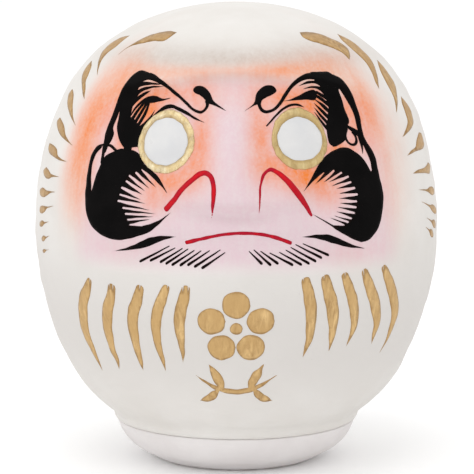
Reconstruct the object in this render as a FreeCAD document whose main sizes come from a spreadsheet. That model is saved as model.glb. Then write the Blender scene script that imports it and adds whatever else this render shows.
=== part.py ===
"""Daruma doll: a hollow papier-mache body standing on a weighted bowl-shaped base, with its painted marks.

Frame: millimetres, +Z up, origin on the resting plane under the centre, the face looks along -Y.
Left and right are the doll's own, so left is +X.

A mark on the body is given in unrolled coordinates (s, z): s runs round the body from the middle of the
face, measured on the widest ring and positive towards +X, and z is the height.
"""

import FreeCAD, Part

import math
import os

import Sketcher
from FreeCAD import Placement, Rotation, Vector

# ---------------------------------------------------------------- driving dimensions
DIMENSIONS = [
    ("height", 176.4, "resting plane to crown"),
    ("equator_radius", 77.5, "widest radius of the body"),
    ("equator_height", 91.4, "height of the widest ring"),
    ("crown_arc", 93.0, "radius of the arc over the crown"),
    ("shoulder_arc", 62.0, "radius of the arc between crown and side"),
    ("side_arc", 118.0, "radius of the side arc"),
    ("seat_arc", 50.0, "radius of the arc that tucks the body in over the base"),
    ("seat_height", 38.4, "height where the side arc meets the seat arc"),
    ("body_start", 16.4, "height where the seat arc starts inside the collar"),
    ("wall", 3.0, "papier-mache wall"),
    ("recess_depth", 4.2, "how far the face panel lies behind the body"),
    ("nose_rise", 6.2, "height of the nose tip over the panel"),
    ("brim_rise", 3.2, "how far the hood stands out over the forehead"),
    ("collar_radius", 47.6, "outer radius of the body's bottom collar"),
    ("collar_rise", 4.6, "height of the collar, up into the body"),
    ("joint_height", 15.6, "height of the joint between collar and base weight"),
    ("mouth_radius", 36.0, "radius of the opening in the body's bottom"),
    ("base_top_radius", 46.4, "radius of the base weight at the joint"),
    ("base_bowl_arc", 18.5, "radius of the arc round the base weight"),
    ("base_knee_radius", 35.5, "radius where the bowl arc meets the foot arc"),
    ("base_knee_height", 3.0, "height where the bowl arc meets the foot arc"),
    ("base_foot_arc", 20.0, "radius of the arc down to the foot"),
    ("base_foot_radius", 30.0, "outer radius of the flat resting ring"),
    ("base_dish_radius", 19.0, "radius of the dish under the base, at its rim"),
    ("base_dish_inner", 15.0, "radius of the dish's flat roof"),
    ("base_dish_depth", 2.6, "depth of the dish under the base"),
    ("spigot_radius", 35.6, "radius of the boss that locates the body"),
    ("spigot_top", 20.8, "height of the boss's top"),
    ("bead_foot", 18.6, "height of the glue bead's foot, the top of the body's floor"),
    ("bead_reach", 38.4, "outer radius of the glue bead"),
    ("slit_width", 0.8, "cut through which the form leaves the body"),
    ("slit_bottom", 30.4, "lower end of that cut"),
    ("slit_top", 162.4, "upper end of that cut"),
    ("strip_width", 15.0, "width of the paper strip over the cut"),
    ("strip_lap", 4.0, "how far the strip runs past each end of the cut"),
    ("paint_film", 0.3, "thickness of the brushed paint"),
    ("raised_film", 0.5, "thickness of the eye rings and the paper strip"),
    ("ring_radius", 11.8, "outer radius of the eye rings"),
    ("eye_radius", 9.3, "radius of the blank white eyes"),
    ("right_eye_s", -30.2, "right eye from the middle of the face, round the body"),
    ("right_eye_z", 129.7, "height of the right eye"),
    ("left_eye_s", 27.2, "left eye from the middle of the face, round the body"),
    ("left_eye_z", 130.4, "height of the left eye"),
    ("emblem_height", 62.4, "height of the blossom's centre on the chest"),
    ("petal_ring", 9.3, "distance of a petal's centre from the blossom's centre"),
    ("petal_radius", 5.1, "radius of a petal"),
    ("blossom_eye", 2.3, "radius of the blossom's centre dot"),
]

doc = FreeCAD.newDocument("daruma_doll")
sheet = doc.addObject("Spreadsheet::Sheet", "Dimensions")
for row, (alias, value, note) in enumerate(DIMENSIONS, start=1):
    sheet.set(f"A{row}", alias)
    sheet.set(f"B{row}", str(value))
    sheet.setAlias(f"B{row}", alias)
    sheet.set(f"C{row}", note)
doc.recompute()


def dim(alias):
    """A driving dimension, read from the sheet."""
    return float(sheet.get(alias))


def bind(obj, **aliases):
    """Binds an object's properties to cells of the sheet."""
    for name, alias in aliases.items():
        obj.setExpression(name, f"Dimensions.{alias}")
    return obj


# ---------------------------------------------------------------- the body's outer form
EQUATOR = dim("equator_radius")
FACE_TURNS = [-67.5 + 2.5 * i for i in range(55)]
BACK_TURNS = [9.0 * i for i in range(13)]
BELOW_FACE, FACE_ROW_GAP, FACE_ROWS, LOW_ROWS, CROWN_ROWS = 78.4, 2.2, 41, 14, 6


def ease(t):
    """0 below 0, 1 above 1 and a smooth step between them."""
    t = min(max(t, 0.0), 1.0)
    return t * t * (3.0 - 2.0 * t)


def bell(t):
    """A smooth bump: 1 at 0, fading to nothing by about 2."""
    return math.exp(-t * t)


def arc_touching(inner, inner_r, other, other_r, radius):
    """The centre from which an arc of this radius touches the arcs round inner and other from inside."""
    near, far = inner_r - radius, other_r - radius
    dx, dz = other[0] - inner[0], other[1] - inner[1]
    apart = math.hypot(dx, dz)
    along = (near**2 - far**2 + apart**2) / (2.0 * apart)
    across = math.sqrt(near**2 - along**2)
    ux, uz = dx / apart, dz / apart
    return (inner[0] + along * ux + across * uz, inner[1] + along * uz - across * ux)


def touch_height(centre, radius, other):
    """The height where the arc round centre touches the arc round other."""
    dx, dz = other[0] - centre[0], other[1] - centre[1]
    return centre[1] + abs(dz) * radius / math.hypot(dx, dz)


CROWN = (0.0, dim("height") - dim("crown_arc"))
SIDE = (EQUATOR - dim("side_arc"), dim("equator_height"))
SHOULDER = arc_touching(CROWN, dim("crown_arc"), SIDE, dim("side_arc"), dim("shoulder_arc"))
CROWN_END = touch_height(CROWN, dim("crown_arc"), SHOULDER)
SHOULDER_END = touch_height(SIDE, dim("side_arc"), SHOULDER)
SEAT_SHARE = dim("seat_arc") / dim("side_arc")
SEAT_DROP = dim("seat_height") - SIDE[1]
SEAT_REACH = math.sqrt(dim("side_arc") ** 2 - SEAT_DROP**2)
SEAT = (SIDE[0] + SEAT_REACH * (1.0 - SEAT_SHARE), SIDE[1] + SEAT_DROP * (1.0 - SEAT_SHARE))


def station(z):
    """The round body at height z: its radius, and its outward normal as a run out and a rise."""
    if z >= CROWN_END:
        centre, radius = CROWN, dim("crown_arc")
    elif z >= SHOULDER_END:
        centre, radius = SHOULDER, dim("shoulder_arc")
    elif z >= dim("seat_height"):
        centre, radius = SIDE, dim("side_arc")
    else:
        centre, radius = SEAT, dim("seat_arc")
    rise = (z - centre[1]) / radius
    run = math.sqrt(max(1.0 - rise * rise, 0.0))
    return centre[0] + radius * run, run, rise


def relief(s, z):
    """How far the face stands out from the round body at s, z."""
    side = abs(s)
    panel_top = 154.9 - 7.0 * (s / 55.0) ** 2
    panel = ease((panel_top - z) / 6.0) * ease((z - 81.4) / 8.0) * ease((66.0 - side) / 26.0)
    out = -dim("recess_depth") * panel
    out += dim("brim_rise") * bell((z - 162.4) / 8.5) * ease((85.0 - side) / 50.0)
    nose_width = 5.5 + 13.0 * ease((146.4 - z) / 42.0)
    nose = ease((152.4 - z) / 40.0) * ease((z - 102.9) / 6.0)
    out += dim("nose_rise") * nose * bell(s / nose_width)
    out += 2.6 * bell((side - 20.0) / 7.5) * bell((z - 110.4) / 7.0)  # nostril wings
    out += 1.6 * bell((side - 27.0) / 12.0) * bell((z - 130.4) / 12.0)  # eyeballs
    out += 1.8 * bell((side - 46.0) / 12.0) * bell((z - 104.4) / 12.0)  # cheeks
    out += 1.5 * bell((side - 33.0) / 16.0) * bell((z - 148.4) / 5.0)  # brow ridges
    out += 2.4 * bell(s / 30.0) * bell((z - 99.4) / 5.0)  # upper lip
    out += 1.6 * bell(s / 28.0) * bell((z - 87.4) / 4.5)  # chin
    return out


def skin_point(s, z, off=0.0):
    """A point of the body's surface, moved out by off."""
    turn = s / EQUATOR
    radius, run, rise = station(z)
    reach = radius + relief(s, z) + off * run
    return Vector(reach * math.sin(turn), -reach * math.cos(turn), z + off * rise)


def skin_normal(s, z):
    """The round body's outward direction at s, z."""
    turn = s / EQUATOR
    radius, run, rise = station(z)
    return Vector(run * math.sin(turn), -run * math.cos(turn), rise)


def skin_heights(start):
    """Heights of the rows through which the surface runs, close over the face and closing in on the crown."""
    low = [start + (BELOW_FACE - start) * i / LOW_ROWS for i in range(LOW_ROWS + 1)]
    face = [BELOW_FACE + FACE_ROW_GAP * i for i in range(1, FACE_ROWS)]
    top = math.asin((CROWN_END - CROWN[1]) / dim("crown_arc"))
    crown = []
    for i in range(1, CROWN_ROWS):
        angle = top + (math.pi / 2.0 - top) * i / CROWN_ROWS
        crown.append(CROWN[1] + dim("crown_arc") * math.sin(angle))
    return low + face + crown


def skin_surface(off, start):
    """The body's outer surface moved out by off, from the height start up to the crown."""
    turns = [t - 180.0 for t in BACK_TURNS] + FACE_TURNS + [t + 72.0 for t in BACK_TURNS]
    grid = []
    for z in skin_heights(start):
        row = [skin_point(math.radians(t) * EQUATOR, z, off) for t in turns]
        row[-1] = row[0]
        grid.append(row)
    grid.append([Vector(0, 0, dim("height") + off)] * len(turns))
    surface = Part.BSplineSurface()
    surface.interpolate(grid)
    return surface


def sewn_solid(faces):
    """The solid inside a closed set of faces."""
    shell = Part.Shell(faces)
    shell.sewShape()
    return Part.makeSolid(shell)


def skin_solid(surface):
    """The solid under a skin: the skin over a flat bottom."""
    skin = surface.toShape()
    rim = [edge for edge in skin.Edges if not edge.Degenerated and edge.BoundBox.ZLength < 0.01]
    return sewn_solid([skin, Part.Face(Part.Wire(rim))])


def patch_face(surface, low, high, off):
    """The part of a skin between two corners given as (s, z)."""
    u1, v1 = surface.parameter(skin_point(*low, off))
    u2, v2 = surface.parameter(skin_point(*high, off))
    patch = surface.copy()
    patch.segment(min(u1, u2), max(u1, u2), min(v1, v2), max(v1, v2))
    return patch.toShape()


def layer_patch(inside, outside, off, low, high):
    """A block of a layer over the body, between the skins inside and outside."""
    under = patch_face(inside, low, high, 0.0)
    over = patch_face(outside, low, high, off)
    walls = [Part.makeRuledSurface(a, b) for a, b in zip(under.Edges, over.Edges)]
    block = sewn_solid([under, over] + walls)
    if block.Volume < 0.0:
        block.reverse()
    return block


def feature(name, shape):
    """A document object that holds a computed shape."""
    obj = doc.addObject("Part::Feature", name)
    obj.Label = name
    obj.Shape = shape
    obj.Placement = Placement(Vector(0, 0, 0), Rotation())
    return obj


def boolean(kind, name, *parts):
    """A Part boolean of the given objects: Cut, Common, Fuse or MultiFuse."""
    obj = doc.addObject(f"Part::{kind}", name)
    obj.Label = name
    if kind == "MultiFuse":
        obj.Shapes = list(parts)
    else:
        obj.Base, obj.Tool = parts
    doc.recompute()
    return obj


def cylinder(name, radius, height, base):
    """A Part cylinder whose radius follows the sheet, standing on a point of the axis."""
    obj = bind(doc.addObject("Part::Cylinder", name), Radius=radius)
    obj.Height = height
    obj.Placement = Placement(Vector(0, 0, base), Rotation())
    return obj


# ---------------------------------------------------------------- the body
# The inner skin starts where its own flat bottom lies on the body's floor.
FLOOR = dim("joint_height") + dim("wall")
WALL_SHARE = dim("wall") / dim("seat_arc")
INNER_START = (FLOOR - WALL_SHARE * SEAT[1]) / (1.0 - WALL_SHARE)

body_skin = skin_surface(0.0, dim("body_start"))
paint_skin = skin_surface(dim("paint_film"), dim("body_start"))
raised_skin = skin_surface(dim("raised_film"), dim("body_start"))
outer = feature("outer_form", skin_solid(body_skin))
inner = feature("inner_form", skin_solid(skin_surface(-dim("wall"), INNER_START)))
collar = cylinder("collar", "collar_radius", dim("collar_rise"), dim("joint_height"))
mouth = cylinder("mouth", "mouth_radius", dim("wall") + 2.0, dim("joint_height") - 1.0)

BACK_START = 20.0  # how far behind the axis the cut and the strip's cutter begin
slit = bind(doc.addObject("Part::Box", "form_slit"), Length="slit_width")
slit.Width = EQUATOR
slit.Height = dim("slit_top") - dim("slit_bottom")
slit.Placement = Placement(Vector(-dim("slit_width") / 2.0, BACK_START, dim("slit_bottom")), Rotation())
doc.recompute()

closed_body = boolean("Fuse", "closed_body", outer, collar)
hollows = boolean("MultiFuse", "hollows", inner, mouth, slit)
paper_shell = boolean("Cut", "paper_shell", closed_body, hollows)

raised_form = feature("raised_form", skin_solid(raised_skin))
raised_layer = boolean("Cut", "raised_layer", raised_form, outer)

strip_box = bind(doc.addObject("Part::Box", "strip_box"), Length="strip_width")
strip_box.Width = EQUATOR
strip_box.Height = dim("slit_top") - dim("slit_bottom") + 2.0 * dim("strip_lap")
strip_base = dim("slit_bottom") - dim("strip_lap")
strip_box.Placement = Placement(Vector(-dim("strip_width") / 2.0, BACK_START, strip_base), Rotation())
doc.recompute()
back_seam_strip = boolean("Common", "back_seam_strip", raised_layer, strip_box)


# ---------------------------------------------------------------- the base weight and its glue
def arc_between(start, end, radius):
    """The arc that turns left from start to end in the sketch plane."""
    dx, dy = end[0] - start[0], end[1] - start[1]
    chord = math.hypot(dx, dy)
    inset = math.sqrt(radius**2 - chord**2 / 4.0)
    across = (start[0] + end[0]) / 2.0 - dy / chord * inset
    up = (start[1] + end[1]) / 2.0 + dx / chord * inset
    centre = Vector(across, up, 0)
    first = math.atan2(start[1] - centre.y, start[0] - centre.x)
    last = math.atan2(end[1] - centre.y, end[0] - centre.x)
    return Part.ArcOfCircle(Part.Circle(centre, Vector(0, 0, 1), radius), first, last)


def turned_body(name, corners, arcs):
    """A PartDesign body turned about Z.

    corners: pairs of sheet aliases (radius, height) round the profile, anticlockwise, None for zero.
    arcs: the corners that an arc leaves, turning left, and the alias of its radius.
    """
    body = doc.addObject("PartDesign::Body", name)
    body.Label = name
    sketch = body.newObject("Sketcher::SketchObject", name + "_profile")
    plane = next(item for item in body.Origin.OriginFeatures if item.Role == "XZ_Plane")
    sketch.AttachmentSupport = [(plane, "")]
    sketch.MapMode = "FlatFace"
    points = [tuple(dim(alias) if alias else 0.0 for alias in corner) for corner in corners]
    count = len(corners)
    for i, point in enumerate(points):
        after = points[(i + 1) % count]
        if i in arcs:
            sketch.addGeometry(arc_between(point, after, dim(arcs[i])), False)
        else:
            sketch.addGeometry(Part.LineSegment(Vector(*point, 0), Vector(*after, 0)), False)
    for i in range(count):
        sketch.addConstraint(Sketcher.Constraint("Coincident", i, 2, (i + 1) % count, 1))
    for i, corner in enumerate(corners):
        for kind, alias in zip(("DistanceX", "DistanceY"), corner):
            measure = dim(alias) if alias else 0.0
            mark = sketch.addConstraint(Sketcher.Constraint(kind, -1, 1, i, 1, measure))
            if alias:
                sketch.setExpression(f"Constraints[{mark}]", f"Dimensions.{alias}")
    for i, alias in arcs.items():
        mark = sketch.addConstraint(Sketcher.Constraint("Radius", i, dim(alias)))
        sketch.setExpression(f"Constraints[{mark}]", f"Dimensions.{alias}")
    doc.recompute()
    turned = body.newObject("PartDesign::Revolution", name + "_turned")
    turned.Profile = sketch
    turned.ReferenceAxis = (sketch, ["V_Axis"])
    turned.Angle = 360.0
    doc.recompute()
    return body


base_weight = turned_body(
    "base_weight",
    [
        (None, "base_dish_depth"),
        ("base_dish_inner", "base_dish_depth"),
        ("base_dish_radius", None),
        ("base_foot_radius", None),
        ("base_knee_radius", "base_knee_height"),
        ("base_top_radius", "joint_height"),
        ("spigot_radius", "joint_height"),
        ("spigot_radius", "spigot_top"),
        (None, "spigot_top"),
    ],
    {3: "base_foot_arc", 4: "base_bowl_arc"},
)
base_glue_bead = turned_body(
    "base_glue_bead",
    [("spigot_radius", "bead_foot"), ("bead_reach", "bead_foot"), ("spigot_radius", "spigot_top")],
    {},
)


# ---------------------------------------------------------------- outlines of brushed marks
DEPTH = 25.0  # how far a mark's prism reaches to each side of the skin
MARGIN = 2.5  # how far a block of paint layer reaches past the mark that is cut from it
TIP = 0.05  # a brush width this small ends in a point


def line_or_curve(points):
    """The edge through the points: a line for two, a smooth curve for more."""
    if len(points) == 2:
        return Part.LineSegment(*points).toShape()
    curve = Part.BSplineCurve()
    curve.interpolate(points)
    return curve.toShape()


def stroke(*path):
    """The outline of a brush stroke: path gives s, z and the width in true millimetres at each point."""
    left, right = [], []
    last = len(path) - 1
    for i, (s, z, width) in enumerate(path):
        before, after = path[max(i - 1, 0)], path[min(i + 1, last)]
        radius, run, rise = station(z)
        wide, tall = radius / EQUATOR, 1.0 / run
        ds, dz = (after[0] - before[0]) * wide, (after[1] - before[1]) * tall
        length = math.hypot(ds, dz)
        across, up = -dz / length * width / 2.0 / wide, ds / length * width / 2.0 / tall
        left.append((s + across, z + up))
        right.append((s - across, z - up))
    right.reverse()
    if path[-1][2] < TIP:
        right[0] = left[-1]
    if path[0][2] < TIP:
        right[-1] = left[0]
    outline = [left]
    if path[-1][2] >= TIP:
        outline.append([left[-1], right[0]])
    outline.append(right)
    if path[0][2] >= TIP:
        outline.append([right[-1], left[0]])
    return outline


def disc(s, z, radius):
    """The outline of a round dab."""
    corners = []
    for i in range(9):
        turn = math.pi * i / 4.0
        corners.append((s + radius * math.sin(turn), z - radius * math.cos(turn)))
    return [corners[0:5], corners[4:9]]


def comb(gaps, tips):
    """The edge of a mass of hair: from each gap's root out to a hair's tip and back to the next root."""
    edge = []
    for gap, tip, after in zip(gaps, tips, gaps[1:]):
        edge.append([gap, tip])
        edge.append([tip, after])
    return edge


def hair(root, tip, width):
    """One hair, straight from its broad root to its tip."""
    return stroke((*root, width), (*tip, 0.0))


def mirrored(outline):
    """The same outline on the other side of the face."""
    return [[(-s, z) for s, z in stretch] for stretch in outline]


def extent(outlines):
    """The lowest and highest corner of the outlines, as (s, z)."""
    points = [point for outline in outlines for stretch in outline for point in stretch]
    return [min(axis) for axis in zip(*points)], [max(axis) for axis in zip(*points)]


def prism(outlines):
    """The solid that cuts the outlines out of a layer over the skin, square to the skin at their middle."""
    low, high = extent(outlines)
    s, z = (low[0] + high[0]) / 2.0, (low[1] + high[1]) / 2.0
    out = skin_normal(s, z)
    ground = skin_point(s, z) - out * DEPTH
    faces = []
    for outline in outlines:
        edges = []
        for stretch in outline:
            points = [skin_point(*point) for point in stretch]
            edges.append(line_or_curve([point - out * (point - ground).dot(out) for point in points]))
        face = Part.Face(Part.Wire(edges))
        faces.append(face if face.normalAt(0.0, 0.0).dot(out) > 0.0 else face.reversed())
    flat = faces[0].fuse(faces[1:]).removeSplitter() if len(faces) > 1 else faces[0]
    return flat.extrude(out * (2.0 * DEPTH))


def film(name, groups, keep_clear=()):
    """A mark of brushed paint. Each group of outlines lies in one direction of view."""
    solids = []
    for outlines in groups:
        (s1, z1), (s2, z2) = extent(outlines)
        corners = (s1 - MARGIN, z1 - MARGIN), (s2 + MARGIN, z2 + MARGIN)
        block = layer_patch(body_skin, paint_skin, dim("paint_film"), *corners)
        shape = block.common(prism(outlines))
        for obj in keep_clear:
            shape = shape.cut(obj.Shape)
        solids += shape.Solids
    return feature(name, Part.makeCompound(solids))


# ---------------------------------------------------------------- eyes
def eye(side):
    """The raised gold ring and the blank white disc inside it."""
    s, z = dim(f"{side}_eye_s"), dim(f"{side}_eye_z")
    out = skin_normal(s, z)
    place = Placement(skin_point(s, z) - out * DEPTH, Rotation(Vector(0, 0, 1), out))
    cores = []
    for name, alias in (("rim", "ring_radius"), ("ball", "eye_radius"), ("disc", "eye_radius")):
        core = bind(doc.addObject("Part::Cylinder", f"{side}_eye_{name}"), Radius=alias)
        core.Height = 2.0 * DEPTH
        core.Placement = place
        cores.append(core)
    doc.recompute()
    rim, ball, white = cores
    half = dim("ring_radius") + MARGIN
    corners = (s - half, z - half), (s + half, z + half)
    raised = layer_patch(body_skin, raised_skin, dim("raised_film"), *corners)
    flat = layer_patch(body_skin, paint_skin, dim("paint_film"), *corners)
    tube = boolean("Cut", f"{side}_eye_tube", rim, ball)
    ring = boolean("Common", f"eye_ring_{side}", feature(f"{side}_ring_layer", raised), tube)
    disc_film = boolean("Common", f"eye_white_{side}", feature(f"{side}_white_layer", flat), white)
    return ring, disc_film, rim


eye_ring_right, eye_white_right, right_rim = eye("right")
eye_ring_left, eye_white_left, left_rim = eye("left")

# ---------------------------------------------------------------- eyebrows: cranes
right_brow_mass = [
    [(-45.0, 153.7), (-50.3, 153.6), (-53.8, 151.0), (-55.8, 147.3), (-57.2, 143.7), (-57.2, 140.8)],
    [(-57.2, 140.8), (-54.5, 139.9)],
    [(-54.5, 139.9), (-54.3, 136.8), (-53.8, 133.4), (-52.0, 129.6), (-48.9, 126.6)],
    [(-48.9, 126.6), (-43.5, 126.8)],
    [(-43.5, 126.8), (-43.0, 130.4), (-42.9, 134.5)],
    [(-42.9, 134.5), (-46.1, 135.2), (-49.0, 137.4), (-49.4, 140.4), (-48.3, 145.9), (-44.2, 150.0)],
    [(-44.2, 150.0), (-40.2, 150.7)],
    [(-40.2, 150.7), (-39.8, 152.8)],
    [(-39.8, 152.8), (-42.6, 153.5), (-45.0, 153.7)],
]
right_brow_arch = stroke(
    (-43.0, 151.8, 3.6), (-39.6, 151.7, 2.6), (-34.7, 150.1, 2.0), (-31.4, 147.7, 1.5), (-26.6, 145.2, 1.1),
    (-22.5, 142.6, 1.0), (-19.7, 140.7, 1.0), (-17.1, 139.8, 1.0), (-15.4, 139.7, 1.0), (-13.9, 140.6, 1.0),
    (-13.1, 141.9, 1.2), (-13.4, 143.4, 1.5),
)
right_brow_head = [
    [(-4.4, 140.2), (-8.0, 142.2), (-10.7, 143.8), (-12.2, 146.1), (-14.2, 147.7), (-17.0, 148.7),
     (-19.6, 148.4), (-20.5, 147.3), (-19.4, 146.2), (-17.0, 145.5), (-14.7, 144.2), (-13.5, 142.7)],
    [(-13.5, 142.7), (-11.6, 142.4), (-8.0, 141.4), (-4.4, 140.2)],
]
right_brow_wing = [
    [(-49.2, 140.1), (-46.8, 142.6), (-44.1, 144.2), (-40.7, 144.7), (-36.3, 144.2), (-30.5, 144.5)],
    [(-30.5, 144.5), (-33.2, 143.3), (-37.6, 142.5), (-42.3, 142.4), (-46.1, 141.8), (-49.2, 140.1)],
]
right_brow_strap = stroke((-56.4, 141.0, 1.6), (-56.6, 136.4, 1.6), (-56.8, 132.5, 2.3), (-57.0, 127.8, 1.9))
right_brow_hairs = [
    hair((-44.2, 149.6), (-34.5, 148.3), 1.2),
    hair((-48.0, 146.6), (-38.9, 147.6), 1.3),
    hair((-49.2, 143.6), (-41.7, 146.5), 1.3),
    hair((-48.9, 136.6), (-45.7, 142.0), 0.8),
    hair((-46.8, 135.4), (-43.7, 141.7), 0.8),
    hair((-45.0, 134.6), (-42.0, 141.7), 0.8),
    hair((-43.2, 134.0), (-40.2, 140.7), 0.8),
]
right_eyelid = stroke(
    (-40.9, 135.4, 0.5), (-38.3, 138.0, 0.9), (-36.5, 139.4, 1.3), (-34.2, 140.8, 1.7), (-30.5, 141.4, 1.5),
    (-26.7, 140.8, 1.2), (-21.8, 139.0, 1.1), (-18.2, 137.6, 0.8), (-13.7, 136.1, 0.0),
)
right_brow = [right_brow_mass, right_brow_arch, right_brow_head, right_brow_wing, right_brow_strap]
eyebrow_right = film("eyebrow_right", [right_brow + right_brow_hairs, [right_eyelid]], [right_rim])

left_brow_mass = [
    [(36.9, 150.6), (39.5, 148.9), (42.2, 146.8), (43.2, 144.0), (43.6, 141.2), (42.6, 138.6), (39.8, 134.3)],
    [(39.8, 134.3), (40.0, 130.9), (40.9, 127.7), (42.6, 126.9)],
    [(42.6, 126.9), (45.3, 127.7), (47.5, 128.8), (49.0, 131.2)],
    [(49.0, 131.2), (50.5, 134.6), (51.6, 137.3), (51.3, 140.0), (50.9, 143.5), (49.6, 146.3)],
    [(49.6, 146.3), (50.4, 150.8)],
    [(50.4, 150.8), (47.2, 153.0), (42.1, 153.3), (38.1, 152.9)],
    [(38.1, 152.9), (36.9, 150.6)],
]
left_brow_arch = stroke(
    (41.2, 151.7, 2.4), (35.0, 151.4, 2.3), (30.7, 150.0, 2.0), (27.3, 147.8, 1.6), (23.7, 145.4, 1.3),
    (20.6, 143.0, 1.2), (17.8, 141.0, 1.1), (15.3, 140.0, 1.1), (13.0, 139.7, 1.1), (11.2, 140.6, 1.2),
    (10.4, 142.2, 1.4), (10.6, 143.6, 1.6),
)
left_brow_head = [
    [(3.8, 140.1), (7.1, 142.0), (8.4, 143.2), (9.4, 145.9), (11.8, 147.9), (15.1, 149.0), (18.1, 148.6),
     (19.2, 147.1), (17.1, 145.8), (13.9, 144.7), (11.8, 143.6), (11.1, 142.1)],
    [(11.1, 142.1), (9.1, 142.2), (6.5, 141.3), (3.8, 140.1)],
]
left_brow_wing = [
    [(22.5, 143.5), (28.2, 144.6), (32.9, 146.0), (36.4, 146.7), (39.0, 145.8), (38.5, 144.1)],
    [(38.5, 144.1), (31.0, 143.4), (22.5, 143.5)],
]
left_brow_strap = stroke(
    (47.0, 151.4, 3.0), (49.8, 149.8, 3.6), (52.4, 147.0, 3.4), (54.6, 143.6, 3.0), (55.8, 139.6, 2.8),
    (56.0, 135.8, 2.5), (55.9, 132.4, 2.2), (56.3, 129.8, 1.9), (57.1, 127.8, 1.7),
)
left_brow_loop = stroke(
    (50.3, 133.0, 1.0), (49.1, 130.8, 0.8), (49.3, 128.6, 0.8), (51.1, 127.4, 0.8), (53.0, 128.3, 0.8),
    (53.3, 130.3, 0.8), (51.9, 132.3, 0.8),
)
left_brow_links = [
    stroke((50.6, 133.8, 1.6), (52.8, 132.1, 2.0), (55.4, 130.2, 2.0)),
    stroke((55.7, 130.4, 1.4), (55.2, 128.0, 0.9), (54.6, 126.6, 0.0)),
]
left_brow_hairs = [
    hair((37.6, 150.1), (29.9, 148.8), 0.9),
    hair((41.0, 147.9), (33.1, 147.7), 0.9),
    hair((43.6, 143.5), (38.3, 145.3), 0.8),
    hair((43.8, 140.7), (37.9, 144.1), 0.8),
    hair((43.8, 138.1), (37.0, 142.0), 0.8),
    hair((42.6, 135.8), (36.4, 140.3), 0.8),
    hair((41.4, 133.6), (36.0, 139.0), 0.8),
]
left_eyelid = stroke(
    (13.0, 134.9, 0.5), (16.9, 138.0, 0.7), (20.7, 140.8, 0.9), (24.0, 142.3, 0.9), (27.6, 142.6, 0.9),
    (30.1, 142.1, 0.8), (31.8, 141.4, 0.0),
)
left_brow = [left_brow_mass, left_brow_arch, left_brow_head, left_brow_wing, left_brow_strap, left_brow_loop]
left_brow_group = left_brow + left_brow_links + left_brow_hairs
eyebrow_left = film("eyebrow_left", [left_brow_group, [left_eyelid]], [left_rim])

# ---------------------------------------------------------------- beards: turtles
right_gaps = [
    (-39.4, 119.1), (-42.1, 117.8), (-44.8, 116.6), (-45.7, 114.6), (-47.1, 112.2), (-47.3, 109.7),
    (-47.6, 107.4), (-45.2, 105.0), (-44.0, 102.9), (-43.0, 100.8), (-42.1, 98.8),
]
right_tips = [
    (-32.2, 112.9), (-35.0, 112.4), (-36.7, 111.3), (-37.5, 110.0), (-38.2, 108.2), (-35.8, 106.9),
    (-33.8, 104.7), (-31.5, 103.5), (-32.3, 102.4), (-33.5, 101.4),
]
right_beard = [
    [(-49.6, 125.8), (-52.3, 124.9), (-56.1, 122.8), (-57.4, 120.0), (-58.6, 116.8), (-60.1, 110.0)],
    [(-60.1, 110.0), (-61.1, 115.1), (-61.4, 119.0), (-60.6, 123.3), (-58.6, 125.6)],
    [(-58.6, 125.6), (-57.9, 127.3)],
    [(-57.9, 127.3), (-61.0, 126.1), (-62.7, 123.2), (-63.1, 118.9), (-63.1, 110.4), (-61.5, 102.6),
     (-59.0, 98.0), (-54.4, 94.5), (-47.7, 93.0), (-39.8, 94.6), (-32.9, 97.3), (-25.1, 104.2)],
    [(-25.1, 104.2), (-30.0, 101.1), (-36.8, 98.7)],
    [(-36.8, 98.7), (-42.1, 98.8)],
    *comb(right_gaps[::-1], right_tips[::-1]),
    [(-39.4, 119.1), (-34.0, 115.3), (-27.0, 111.3)],
    [(-27.0, 111.3), (-32.8, 117.7), (-40.2, 121.0), (-42.4, 124.0), (-45.7, 125.6), (-49.6, 125.8)],
]
right_beard_straps = [
    stroke((-57.6, 127.2, 1.1), (-57.3, 123.9, 1.2), (-57.0, 120.4, 1.2)),
    stroke((-57.4, 126.8, 1.0), (-54.9, 126.7, 1.0), (-51.6, 124.9, 1.0)),
]
beard_right = film("beard_right", [[right_beard] + right_beard_straps], [right_rim])

left_gaps = [
    (35.8, 118.1), (40.6, 118.5), (43.9, 117.6), (46.6, 116.1), (47.3, 114.1), (48.5, 112.0), (49.2, 109.6),
    (48.5, 107.1), (48.1, 105.0), (47.2, 102.9), (45.8, 101.0), (44.4, 99.7), (42.7, 98.6),
]
left_tips = [
    (31.4, 113.9), (35.3, 114.5), (37.5, 114.4), (38.7, 113.0), (40.4, 111.9), (41.5, 110.2), (41.1, 108.5),
    (41.3, 106.8), (40.2, 105.4), (39.6, 103.9), (38.6, 102.4), (36.8, 101.8),
]
left_beard = [
    [(25.9, 111.8), (29.1, 115.2), (34.2, 121.2), (37.6, 123.7), (41.8, 125.5), (45.5, 126.3), (48.9, 126.0),
     (53.3, 122.9), (56.7, 117.3)],
    [(56.7, 117.3), (57.2, 117.8)],
    [(57.2, 117.8), (56.9, 120.8), (55.8, 125.7)],
    [(55.8, 125.7), (56.4, 127.3)],
    [(56.4, 127.3), (58.0, 127.0)],
    [(58.0, 127.0), (59.3, 123.6), (60.3, 115.4), (60.3, 106.5), (57.4, 96.8), (53.4, 92.6), (50.5, 92.0)],
    [(50.5, 92.0), (48.2, 92.8), (42.2, 95.7), (35.2, 100.0), (29.6, 103.4)],
    [(29.6, 103.4), (34.0, 101.2), (38.3, 98.9)],
    [(38.3, 98.9), (42.7, 98.6)],
    *comb(left_gaps[::-1], left_tips[::-1]),
    [(35.8, 118.1), (31.0, 115.3), (25.9, 111.8)],
]
beard_left = film("beard_left", [[left_beard]], [left_rim])

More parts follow.
